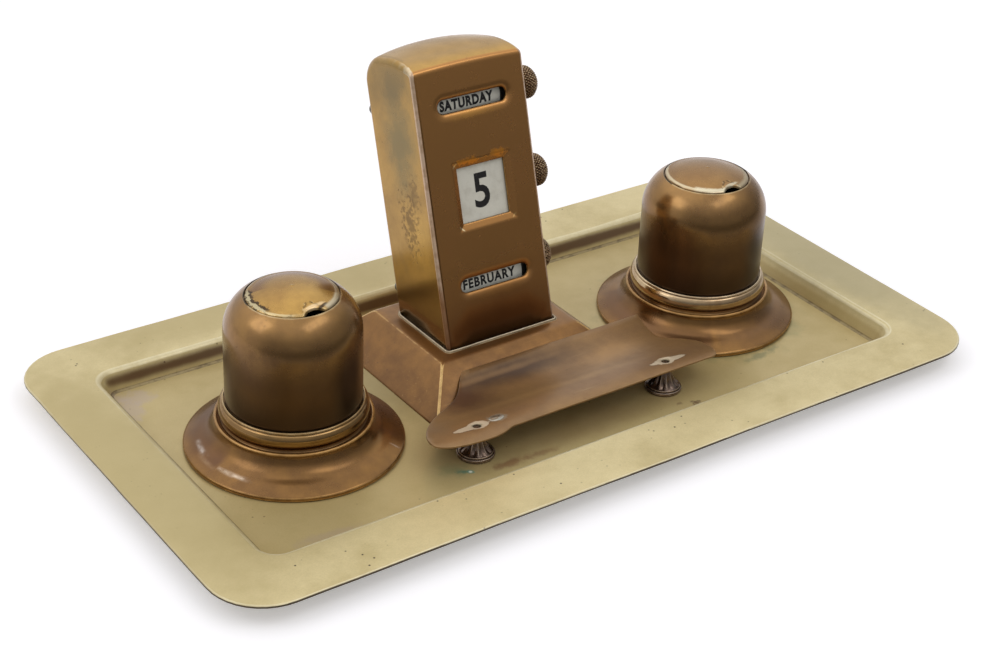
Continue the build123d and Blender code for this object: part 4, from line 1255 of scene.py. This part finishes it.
def lid_skin(under):
    """The points of the lid's upper or under skin, out from the middle in each direction."""
    points = []
    for k in range(LID_ROUND):
        theta = 2 * math.pi * k / LID_ROUND
        edge = lid_edge(theta)
        for share in LID_SHARES:
            r = LID_RADIUS * share
            if r >= edge - 1.4:
                r = edge - LID_RADIUS * (1 - share)
            r = min(max(r, 0.2), edge)
            z = LID_TOP - LID_CROWN + math.sqrt(LID_CROWN**2 - r**2)
            z += -LID_SHEET if under else LID_LIFT.get(share, 0.0)
            points.append((r * math.cos(theta), r * math.sin(theta), z))
    return points


def lid_faces():
    """Faces of both skins, each closed by its middle point, and of the edge between them."""
    faces = []
    count = len(LID_SHARES)
    shift = LID_ROUND * count
    for skin in (0, 1):
        for k in range(LID_ROUND):
            here = 2 + skin * shift + k * count
            there = 2 + skin * shift + (k + 1) % LID_ROUND * count
            faces.append((skin, here, there))
            for i in range(count - 1):
                faces.append((here + i, here + i + 1, there + i + 1, there + i))
    for k in range(LID_ROUND):
        top = 2 + k * count + count - 1
        top_next = 2 + (k + 1) % LID_ROUND * count + count - 1
        faces.append((top, top_next, top_next + shift, top + shift))
    return faces


def make_lid(side, word):
    """A shallow dome with a raised rim, seated a touch askew."""
    middles = [(0, 0, LID_TOP + 0.2), (0, 0, LID_TOP - LID_SHEET)]
    points = middles + lid_skin(under=False) + lid_skin(under=True)
    tilt = Matrix.Rotation(math.radians(0.7 * side), 3, "Y")
    pivot = Vector((0, 0, 61.2))
    seat = Vector((side * INKWELL_X - 0.16, -0.1, 0))
    moved = [tilt @ (Vector(p) - pivot) + pivot + seat for p in points]
    lid = mesh_from(f"lid_dome_{word}", moved, lid_faces(), f"{word}_lid", 60)
    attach(lid, f"lid_{word}")
    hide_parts(f"inkwell_lid_{word}")


# ---------------------------------------------------------------- pen rest

REST_BACK, REST_HEIGHT, REST_SHEET = -6.4, 11.9, 0.9
REST_SECTION = [
    (0, 0), (5.6, -1.9), (11.6, -2.9), (17.6, -2.6), (23.6, -1.3), (29.6, 0.3),
    (35.6, 1.2), (39.6, 1.3), (44.2, 0.6),
]
REST_RIGHT_END = [
    (57.9, 0), (57.0, 9.4), (57.7, 14.9), (63.2, 23.2), (65.1, 32.8), (63.5, 41.1), (58.0, 41.9),
]
REST_LEFT_END = [
    (-31.6, 41.9), (-40.2, 44.0), (-55.1, 42.8), (-63.0, 38.9), (-61.1, 30.2),
    (-51.0, 19.4), (-35.8, 10.9), (-27.9, 2.4), (-25.3, 0),
]
REST_HOLES = [(-43.1, -42.0), (43.1, -42.0)]
rest_curve = through(REST_SECTION, 8)


def rest_level(y):
    """The pen rest's upper face at a place from back to front."""
    run = REST_BACK - y
    for (r0, z0), (r1, z1) in zip(rest_curve, rest_curve[1:]):
        if run <= r1:
            return REST_HEIGHT + z0 + (z1 - z0) * (run - r0) / (r1 - r0)
    return REST_HEIGHT + rest_curve[-1][1]


def evenly(line, step):
    """Points along a closed line, about one step apart."""
    points = []
    for a, b in zip(line, line[1:] + line[:1]):
        a, b = Vector(a), Vector(b)
        count = max(1, round((b - a).length / step))
        points += [a.lerp(b, k / count) for k in range(count)]
    return points


def drawn_in(line, distance):
    """A closed anticlockwise line moved to its inner side."""
    moved = []
    for i, p in enumerate(line):
        along = line[(i + 1) % len(line)] - line[i - 1]
        moved.append(p + Vector((-along.y, along.x)).normalized() * distance)
    return moved


def hole_line(centre, radius, count=24):
    """A round hole's edge, clockwise."""
    angles = [-2 * math.pi * k / count for k in range(count)]
    return [Vector(centre) + Vector((math.cos(a), math.sin(a))) * radius for a in angles]


def inside(point, line):
    """Whether a closed line goes round a point."""
    odd = False
    for a, b in zip(line, line[1:] + line[:1]):
        if (a.y > point.y) != (b.y > point.y):
            if point.x < a.x + (b.x - a.x) * (point.y - a.y) / (b.y - a.y):
                odd = not odd
    return odd


def rest_lines():
    """The pen rest's outline, anticlockwise, and the edges of its two holes."""
    right = [(x, REST_BACK - run) for x, run in through(REST_RIGHT_END, 6)]
    left = [(x, REST_BACK - run) for x, run in through(REST_LEFT_END, 6)]
    outline = evenly(list(reversed(left)) + list(reversed(right)), 1.6)
    area = sum(a.x * b.y - b.x * a.y for a, b in zip(outline, outline[1:] + outline[:1]))
    if area < 0:
        outline.reverse()
    return [outline] + [hole_line(place, 1.6) for place in REST_HOLES]


def rest_flat(lines):
    """The flat of the sheet within lines, as points and triangles, with even points inside."""
    flat = [p for line in lines for p in line]
    edges, start = [], 0
    for line in lines:
        count = len(line)
        edges += [(start + k, start + (k + 1) % count) for k in range(count)]
        start += count
    for i in range(64):
        for j in range(24):
            p = Vector((-66.0 + 2.1 * i + (j % 2) * 1.05, REST_BACK - 0.9 - 1.85 * j))
            clear = all((p - Vector(place)).length > 3.0 for place in REST_HOLES)
            near = min((p - q).length for q in lines[0])
            if clear and near > 1.0 and inside(p, lines[0]):
                flat.append(p)
    verts, _, tris, *_ = geometry.delaunay_2d_cdt(flat, edges, [], 0, 1e-4)
    kept = []
    for tri in tris:
        middle = sum((verts[i] for i in tri), Vector((0, 0))) / 3
        in_hole = any(inside(middle, line) for line in lines[1:])
        if inside(middle, lines[0]) and not in_hole:
            kept.append(tuple(tri))
    return verts, kept


def rest_surface(x, y):
    """The height of the sheet's upper face, with the unevenness of the hand."""
    return rest_level(y) + hand_wave((x, y, 0), 0.05, 0.10)


def make_pen_rest():
    """A curved sheet with shaped ends, two holes and a rounded edge all round."""
    lines = rest_lines()
    drawn = [drawn_in(line, 0.32) for line in lines]
    verts, tris = rest_flat(drawn)
    count = len(verts)
    points = [(v.x, v.y, rest_surface(v.x, v.y)) for v in verts]
    points += [(x, y, z - REST_SHEET) for x, y, z in points]
    faces = tris + [tuple(i + count for i in reversed(tri)) for tri in tris]
    start = 0
    for line, inner in zip(lines, drawn):
        size = len(line)
        bands = [[start + k for k in range(size)]]
        for share, drop in ((0.26, 0.10), (0.0, 0.30), (0.0, 0.60), (0.26, 0.80)):
            bands.append(list(range(len(points), len(points) + size)))
            for p, q in zip(line, inner):
                place = p.lerp(q, share)
                points.append((place.x, place.y, rest_surface(q.x, q.y) - drop))
        bands.append([start + count + k for k in range(size)])
        for a, b in zip(bands, bands[1:]):
            faces += [(a[k], a[(k + 1) % size], b[(k + 1) % size], b[k]) for k in range(size)]
        start += size
    rest = mesh_from("pen_rest_sheet", points, faces, "rest", 65)
    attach(rest, "base")
    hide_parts("pen_rest")


def make_solder_blob():
    """A flat drop of solder left beside the left foot's hole."""
    centre = Vector((-34.2, -41.2))
    rings, around = 9, 40
    points, faces = [], []
    for k in range(rings + 1):
        share = k / rings
        for j in range(around):
            angle = 2 * math.pi * j / around
            outward = Vector((math.cos(angle) * 1.5, math.sin(angle) * 1.5, 5.0))
            uneven = 1 + 0.16 * noise.noise(outward)
            x = centre.x + 3.4 * share * uneven * math.cos(angle)
            y = centre.y + 2.1 * share * uneven * math.sin(angle)
            height = 0.50 * (1 - share**2) ** 0.6 - 0.12
            points.append((x, y, rest_level(y) + height + hand_wave((x, y, 0), 0.9, 0.12)))
    for k in range(rings):
        for j in range(around):
            n = (j + 1) % around
            here, there = k * around, (k + 1) * around
            faces.append((here + j, here + n, there + n, there + j))
    blob = mesh_from("solder_drop", points, faces, "solder", 80)
    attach(blob, "base")


def make_rest_foot(place, word):
    """A turned button with a fluted cone."""
    top = rest_level(place[1]) - REST_SHEET + 0.05
    section = rounded_line([
        (0.0, 1.25, 0), (6.9, 1.25, 0.3), (7.1, 1.9, 0.3), (6.9, 2.55, 0.35), (6.35, 2.65, 0.15),
        (6.4, 3.2, 0.3), (6.0, 3.45, 0.2), (4.3, 5.3, 3.0), (2.9, 8.3, 2.0), (2.4, 9.3, 0.8),
        (2.4, top, 0), (0.0, top, 0),
    ], closed=False, arc_step=20)
    line = [(p.x, p.y) for p in spaced(section, 0.6) if p.x > 0.01] + [(0.01, top)]

    def flutes(theta, r, z):
        """Eleven grooves down the cone, none on the rim or the neck."""
        share = min(max((z - 3.3) / 0.9, 0.0), 1.0) * min(max((9.0 - z) / 2.5, 0.0), 1.0)
        groove = abs(math.sin(theta * 5.5))
        return r - share * 0.8 * (1 - groove) ** 0.7 * (r / 6.0), z

    foot = turned_mesh(f"button_foot_{word}", line, place, "rest_foot", 168, flutes, 40)
    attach(foot, "base")
    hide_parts(f"pen_rest_foot_{word}")


# ---------------------------------------------------------------- calendar case

def case_local(point):
    """The other way round: a place in the room, in the case's own frame."""
    c, s = math.cos(CASE_LEAN), math.sin(CASE_LEAN)
    y, z = point.y - CASE_FRONT, point.z - PLINTH_TOP
    return point.x, y * c - z * s, y * s + z * c


def ease(value, low, high):
    """0 below low, 1 above high, with soft ends."""
    t = min(max((value - low) / (high - low), 0.0), 1.0)
    return t * t * (3 - 2 * t)


FACE_STEPS = 22
FACE_TOP = 104.0


def side_outline():
    """The case from the side: (depth, level, edge rounding), up the face and over to the back."""
    foot = -0.8 / math.cos(CASE_LEAN)
    back_foot = foot + CASE_DEPTH * math.tan(CASE_LEAN)
    crest, crest_top, crown, roll = 24.4, 112.8, 44.95, 9.9
    levels = [foot + (FACE_TOP - foot) * k / FACE_STEPS for k in range(FACE_STEPS + 1)]
    line = [(0.0, level, 1.3) for level in levels]
    start = math.asin(crest / crown)
    centre = crest_top - crown
    # the upper edge of the face: one soft curve that meets the crown
    corner = Vector((0.0, centre + math.sqrt(crown**2 - crest**2)))
    ahead = crest - crown * math.sin(start * 0.94)
    over = Vector((ahead, centre + crown * math.cos(start * 0.94)))
    for k in range(1, 7):
        t = k / 7
        point = (1 - t)**2 * Vector((0.0, FACE_TOP)) + 2 * t * (1 - t) * corner + t**2 * over
        line.append((point.x, point.y, 1.3 + 0.5 * t))
    # the crown, then the roll down to the back
    for k in range(16):
        angle = start * 0.94 * (1 - k / 16)
        rounding = 1.8 + 0.8 * ease(k, 0, 5)
        line.append((crest - crown * math.sin(angle), centre + crown * math.cos(angle), rounding))
    top = crest_top - roll
    for k in range(13):
        angle = math.pi / 2 * k / 12
        line.append((crest + roll * math.sin(angle), top + roll * math.cos(angle), 2.6))
    line += [(CASE_DEPTH, top + (back_foot - top) * k / 12, 2.6) for k in range(1, 13)]
    return line


def outline_normals(line):
    """At each point of the side outline, the direction out of the case."""
    normals = []
    for i in range(len(line)):
        a, b = Vector(line[max(i - 1, 0)][:2]), Vector(line[min(i + 1, len(line) - 1)][:2])
        along = (b - a).normalized()
        normals.append(Vector((-along.y, along.x)))
    return normals


def pillowed(x, depth, level):
    """A place in the room: the case's top is drawn down a little towards both sides."""
    out = min(abs(x) / CASE_HALF, 1.0)
    drop = 3.0 * ease(level, 95.0, 106.0) * ease(depth, 0.0, 26.0) * out**2.2
    arch = 0.7 * ease(level, 99.0, 105.0) * (1 - ease(depth, 2.0, 10.0)) * (1 - out**2)
    return case_place(x, depth, level - drop + arch)


def with_straights(points, parts, least=5.0):
    """A closed line whose long spans are cut into parts."""
    line = []
    for a, b in zip(points, points[1:] + points[:1]):
        count = parts if (b - a).length > least else 1
        line += [a.lerp(b, k / count) for k in range(count)]
    return line


def slot_line(level, grow, count=14):
    """A long round-ended window, grown by a margin, anticlockwise."""
    end_radius, half_length = 2.6, 15.25
    radius, half = end_radius + grow, half_length - end_radius
    points = []
    for side, start in ((1, -90), (-1, 90)):
        for k in range(count + 1):
            angle = math.radians(start + 180 * k / count)
            along = WINDOW_SHIFT + side * half + radius * math.cos(angle)
            points.append(Vector((along, level + radius * math.sin(angle))))
    return with_straights(points, 8)


def square_line(level, grow, rounding, steps=5):
    """The square window with rounded corners, grown by a margin, anticlockwise."""
    half = 10.6 + grow
    points = []
    for k in range(4):
        start = math.pi / 2 * (k - 1)
        corner = Matrix.Rotation(start, 2) @ (Vector((1, 1)) * (half - rounding))
        for j in range(steps + 1):
            angle = start + math.pi / 2 * j / steps
            point = corner + Vector((math.cos(angle), math.sin(angle))) * rounding
            points.append(point + Vector((WINDOW_SHIFT, level)))
    return with_straights(points, 9)


# From the level face inwards: (margin, depth), and for the square (margin, depth, rounding).
SLOT_LIP = (
    (3.2, 0.0), (2.6, 0.02), (2.0, 0.08), (1.4, 0.20), (0.9, 0.38), (0.5, 0.60), (0.2, 0.86),
    (0.03, 1.15), (0.0, 1.6),
)
SQUARE_LIP = (
    (3.3, 0.0, 1.0), (2.7, 0.02, 0.7), (2.35, 0.08, 0.5), (2.05, 0.20, 0.4), (0.40, 0.86, 0.3),
    (0.12, 1.02, 0.3), (0.0, 1.25, 0.3), (0.0, 2.1, 0.3),
)


def window_rings():
    """Rings round each window as (line, depth): level face, soft lip, then inwards."""
    windows = []
    for level in (WEEKDAY_AXIS[1], MONTH_AXIS[1]):
        windows.append([(slot_line(level, grow), depth) for grow, depth in SLOT_LIP])
    level = DATE_AXIS[1]
    windows.append([
        (square_line(level, grow, rounding), depth) for grow, depth, rounding in SQUARE_LIP
    ])
    return windows


def on_face(point):
    """Within the case's face or its upper edge, clear of the two corners."""
    x, depth, _ = case_local(point)
    return abs(x) < 22.4 and depth < 9.0


def side_row(outline, side, angle):
    """A line over the case along the rounded edge of one side, at an angle round it."""
    row = []
    for (depth, level, rounding), normal in outline:
        inset = rounding * (1 - math.cos(angle))
        x = side * (CASE_HALF - rounding + rounding * math.sin(angle))
        row.append(pillowed(x, depth - normal.x * inset, level - normal.y * inset))
    return row


def front_row(outline, x):
    """A line over the case between its rounded edges, at one distance across."""
    row = []
    for (depth, level, rounding), _ in outline:
        reach = min(abs(x), CASE_HALF - rounding)
        row.append(pillowed(math.copysign(reach, x), depth, level))
    return row


def add_windows(points, faces):
    """Adds each window's lip and inner wall, and returns (outer line, its points) for each."""
    borders = []
    for rings in window_rings():
        previous = None
        for line, depth in rings:
            size = len(line)
            indices = list(range(len(points), len(points) + size))
            points += [case_place(p.x, depth, p.y) for p in line]
            if previous is None:
                borders.append((line, indices))
            else:
                faces += [
                    (previous[k], previous[(k + 1) % size], indices[(k + 1) % size], indices[k])
                    for k in range(size)
                ]
            previous = indices
    return borders


def fill_face(points, faces, loop, windows):
    """Fills the flat face between the loop round it and its windows with triangles."""
    flat, owners, edges = [], [], []
    border = []
    for index in loop:
        x, _, level = case_local(points[index])
        border.append(Vector((x, level)))
    for line, indices in [(border, loop)] + windows:
        start, size = len(flat), len(line)
        flat += line
        owners += indices
        edges += [(start + k, start + (k + 1) % size) for k in range(size)]
    verts, _, tris, origins, *_ = geometry.delaunay_2d_cdt(flat, edges, [], 0, 1e-5)
    for tri in tris:
        middle = sum((verts[i] for i in tri), Vector((0, 0))) / 3
        if not any(inside(middle, line) for line, _ in windows):
            faces.append(tuple(owners[origins[i][0]] for i in tri))


def make_case():
    """The drawn brass shell: a face with three windows, rounded edges, a pillowed top."""
    line = side_outline()
    outline = list(zip(line, outline_normals(line)))
    xs = [-23.4] + [-22.6 + 45.2 * k / 20 for k in range(21)] + [23.4]
    angles = [math.radians(90 * k / 8) for k in range(1, 9)]
    placed = [side_row(outline, -1, angle) for angle in reversed(angles)]
    placed += [front_row(outline, x) for x in xs]
    placed += [side_row(outline, 1, angle) for angle in angles]
    count = len(line)
    points = [point for row in placed for point in row]
    rows = [list(range(i * count, (i + 1) * count)) for i in range(len(placed))]

    first, last = len(angles) + 1, len(angles) + len(xs) - 2
    faces = []
    for i, (here, there) in enumerate(zip(rows, rows[1:])):
        for k in range(count - 1):
            on_flat_face = first <= i < last and k < FACE_STEPS
            if not on_flat_face:
                faces.append((here[k], here[k + 1], there[k + 1], there[k]))
    faces += [tuple(rows[0]), tuple(reversed(rows[-1]))]

    across = rows[first:last + 1]
    left, right = across[0], across[-1]
    loop = [row[0] for row in across] + right[1:FACE_STEPS + 1]
    loop += [row[FACE_STEPS] for row in reversed(across[:-1])]
    loop += list(reversed(left[1:FACE_STEPS]))
    fill_face(points, faces, loop, add_windows(points, faces))

    case = mesh_from("calendar_case", points, faces, "case", 60)
    spare_wear_sheen_dirt_shade(case.data, on_face, 0.2)
    even = case.modifiers.new("even_shading", "WEIGHTED_NORMAL")
    even.keep_sharp = True
    even.weight = 80
    wall = case.modifiers.new("sheet_wall", "SOLIDIFY")
    wall.thickness = 0.6 * MM
    wall.offset = -1.0
    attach(case, "base")
    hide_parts("tower_case")


def letters(name, words, width, height, weight):
    """Flat printed words, their middle at the origin, as points and faces."""
    curve = bpy.data.curves.new(name, "FONT")
    curve.body = words
    curve.size = 10.0
    curve.offset = weight
    curve.resolution_u = 4
    curve.space_character = 1.16
    writing = bpy.data.objects.new(name, curve)
    bpy.context.scene.collection.objects.link(writing)
    bpy.context.view_layer.update()
    depsgraph = bpy.context.evaluated_depsgraph_get()
    mesh = bpy.data.meshes.new_from_object(writing.evaluated_get(depsgraph))
    bpy.data.objects.remove(writing)
    low = [min(v.co[i] for v in mesh.vertices) for i in (0, 1)]
    high = [max(v.co[i] for v in mesh.vertices) for i in (0, 1)]
    share_x = width / (high[0] - low[0])
    share_y = height / (high[1] - low[1])
    for v in mesh.vertices:
        v.co.x = (v.co.x - (low[0] + high[0]) / 2) * share_x
        v.co.y = (v.co.y - (low[1] + high[1]) / 2) * share_y
    bm = bmesh.new()
    bm.from_mesh(mesh)
    bmesh.ops.triangulate(bm, faces=bm.faces)
    for k in range(-4, 5):
        cut = bm.verts[:] + bm.edges[:] + bm.faces[:]
        bmesh.ops.bisect_plane(bm, geom=cut, plane_co=(0, k * height / 9, 0), plane_no=(0, 1, 0))
    bm.to_mesh(mesh)
    bm.free()
    return mesh


WEEKDAYS = ["SATURDAY", "SUNDAY", "MONDAY", "TUESDAY", "WEDNESDAY", "THURSDAY", "FRIDAY"]
MONTHS = [
    "FEBRUARY", "MARCH", "APRIL", "MAY", "JUNE", "JULY", "AUGUST", "SEPTEMBER", "OCTOBER",
    "NOVEMBER", "DECEMBER", "JANUARY",
]


def print_drum(names, body, axis, radius, height, rise, weight):
    """Each name printed round a drum, one step apart, reading from the left."""
    pitch, longest, left, proud = 3.0, 25.0, -11.8, 0.03
    for i, words in enumerate(names):
        width = min(pitch * len(words), longest)
        mesh = letters(f"{body}_print_{i}", words, width, height, weight)
        for v in mesh.vertices:
            angle = (v.co.y + rise) / radius + 2 * math.pi * i / len(names)
            reach = radius + proud
            depth, level = axis[0] - reach * math.cos(angle), axis[1] + reach * math.sin(angle)
            v.co = case_place(v.co.x + width / 2 + left, depth, level) * MM
        writing = add_object(mesh.name, mesh, "ink")
        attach(writing, body)


def print_date():
    """The number on the paper behind the square window."""
    mesh = letters("date_print", "5", width=7.0, height=13.4, weight=0.20)
    for v in mesh.vertices:
        v.co = case_place(v.co.x + WINDOW_SHIFT, 2.37, v.co.y + DATE_AXIS[1] + 0.3) * MM
    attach(add_object("date_print", mesh, "ink"), "base")


def make_knob(name, axis):
    """A button knob with crossed grooves round its edge."""
    section = rounded_line([
        (1.5, 25.0, 0), (2.6, 25.0, 0.2), (2.6, 28.1, 0.6), (3.4, 28.5, 0.4), (5.3, 28.5, 1.6),
        (6.5, 30.6, 1.8), (6.5, 33.2, 2.2), (4.6, 35.2, 1.4), (2.2, 35.5, 1.0), (1.5, 35.5, 0),
    ], closed=False, arc_step=12)
    line = spaced(section, 0.24)
    around, grooves, slant = 240, 16, 2.2
    points = []
    for k in range(around):
        theta = 2 * math.pi * k / around
        for r, x in line:
            share = ease(r, 3.6, 4.8) * ease(x, 28.6, 29.4)
            first = abs(math.sin(grooves * theta + slant * (x - 30)))
            second = abs(math.sin(grooves * theta - slant * (x - 30)))
            groove = max(1 - first * 1.4, 1 - second * 1.4, 0.0)
            reach = r - 0.45 * share * groove
            points.append(case_place(
                x, axis[0] + reach * math.cos(theta), axis[1] + reach * math.sin(theta)
            ))
    faces = join_rounds(around, len(line), closed=False)
    knob = mesh_from(f"{name}_button", points, faces, "knob", 50)
    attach(knob, name)
    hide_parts(f"{name}_knob")


SCREW_RADIUS, SCREW_HEIGHT, SCREW_SLOT = 2.2, 1.0, 0.6
COVER_OUTSIDE = 35.1


def add_block(points, faces, line, place, low, high, inset):
    """Adds an upright block over a line to a screw's mesh, its top edge drawn in."""
    start, count = len(points), len(line)
    middle = sum(line, Vector((0, 0))) / count
    for height, shrink in ((low, 0.0), (high - inset, 0.0), (high, inset)):
        points += [place(p + (middle - p) * (shrink / SCREW_RADIUS), height) for p in line]
    for k in range(2):
        for i in range(count):
            n = (i + 1) % count
            a, b = start + k * count, start + (k + 1) * count
            faces.append((a + i, a + n, b + n, b + i))
    faces.append(tuple(start + 2 * count + i for i in range(count)))
    faces.append(tuple(start + i for i in reversed(range(count))))


def make_cover_screw(index, x, level, turn):
    """A round head with a driver slot, on the back cover."""
    points, faces = [], []
    c, s = math.cos(turn), math.sin(turn)

    def place(p, height):
        across, up = p.x * c - p.y * s, p.x * s + p.y * c
        return case_place(x + across, COVER_OUTSIDE + height, level + up)

    under = SCREW_HEIGHT * 0.45
    disc = [math.pi * k / 16 for k in range(32)]
    disc = [Vector((math.cos(a), math.sin(a))) * SCREW_RADIUS for a in disc]
    add_block(points, faces, disc, place, 0.0, under, 0.02)
    limit = math.asin(SCREW_SLOT / 2 / SCREW_RADIUS)
    angles = [limit + (math.pi - 2 * limit) * k / 18 for k in range(19)]
    for flip in (1, -1):
        half = [Vector((math.cos(a), math.sin(a))) * (SCREW_RADIUS * flip) for a in angles]
        add_block(points, faces, half, place, under, SCREW_HEIGHT, 0.22)
    head = mesh_from(f"cover_screw_{index}", points, faces, "steel", 30)
    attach(head, "base")
    return head


def make_cover_screws():
    """The four heads at the cover's corners."""
    places = [(x, level) for x in (-21.2, 21.2) for level in (19.4, 89.6)]
    heads = [make_cover_screw(i, *place, 0.5 + 1.1 * i) for i, place in enumerate(places)]
    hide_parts("cover_screws")


make_tray()
make_plinth()
for side, word in ((-1, "left"), (1, "right")):
    make_inkwell_foot(side, word)
    make_inkwell_collar(side, word)
    make_cap(side, word)
    make_lid(side, word)
make_pen_rest()
make_solder_blob()
for place, word in zip(REST_HOLES, ("left", "right")):
    make_rest_foot(place, word)
make_case()
print_drum(WEEKDAYS, "weekday", WEEKDAY_AXIS, radius=7.8, height=4.1, rise=-0.35, weight=0.55)
print_drum(MONTHS, "month", MONTH_AXIS, radius=12.41, height=3.9, rise=-0.45, weight=0.42)
print_date()
make_knob("weekday", WEEKDAY_AXIS)
make_knob("month", MONTH_AXIS)
make_knob("date", DATE_AXIS)
make_knob("date_return", DATE_RETURN_AXIS)
make_cover_screws()


# ---------------------------------------------------------------- finish

def set_lights():
    """Two large soft lamps."""
    softbox("left_lamp", (-0.72, 0.19, 0.68), width=0.55, height=0.55, power=1.2)
    softbox("front_lamp", (0.25, -0.45, 0.85), width=0.90, height=0.35, power=1.4)


def set_world():
    """A room that is pale behind and above the object and dim in front of it."""
    world = bpy.data.worlds.new("soft_room")
    world.use_nodes = True
    bpy.context.scene.world = world
    graph = Graph(world.node_tree)
    background = world.node_tree.nodes["Background"]
    direction = graph.node("ShaderNodeTexCoord").outputs["Generated"]
    split = graph.node("ShaderNodeSeparateXYZ", {0: direction}).outputs
    along = graph.plus(split["Y"], graph.times(split["X"], -0.2))
    behind = graph.times(graph.step(along, -0.35, 0.6), 0.62)
    above = graph.times(graph.step(split["Z"], 0.28, 0.92), 0.72)
    ahead = graph.times(graph.step(split["Z"], -0.30, 0.25), 0.30)
    level = graph.plus(graph.plus(behind, above), graph.plus(ahead, 0.025))
    rays = graph.node("ShaderNodeLightPath").outputs
    level = graph.blend_values(rays["Is Diffuse Ray"], level, 0.77)
    strength = graph.blend_values(rays["Is Camera Ray"], level, 1.0)
    background.inputs["Color"].default_value = (0.95, 0.95, 0.955, 1)
    graph.feed(background.inputs["Strength"], strength)


def make_floor():
    """A white table top that the brass sees as dim towards the front."""
    mesh = bpy.data.meshes.new("floor")
    bm = bmesh.new()
    bmesh.ops.create_grid(bm, x_segments=2, y_segments=2, size=6.0)
    bm.to_mesh(mesh)
    bm.free()
    floor = bpy.data.objects.new("floor", mesh)
    bpy.context.scene.collection.objects.link(floor)
    material, graph, shader = new_material("pale_floor")
    split = graph.node("ShaderNodeSeparateXYZ", {0: graph.place()}).outputs
    lit = graph.step(split["Y"], -0.25, 0.12)
    rays = graph.node("ShaderNodeLightPath").outputs
    seen = rays["Is Camera Ray"]
    mirrored = graph.times(graph.times(rays["Is Glossy Ray"], lit), 0.2)
    glow = graph.plus(graph.times(seen, 0.30), mirrored)
    lit = graph.math("MAXIMUM", lit, seen)
    colour = graph.mix(lit, (0.05, 0.05, 0.05, 1), (0.90, 0.885, 0.915, 1))
    graph.feed(shader.inputs["Base Color"], colour)
    shader.inputs["Roughness"].default_value = 0.85
    shader.inputs["Emission Color"].default_value = (1.0, 1.0, 1.0, 1)
    graph.feed(shader.inputs["Emission Strength"], glow)
    mesh.materials.append(material)


bpy.context.scene.view_settings.view_transform = "Standard"
place_camera()
set_lights()
set_world()
make_floor()
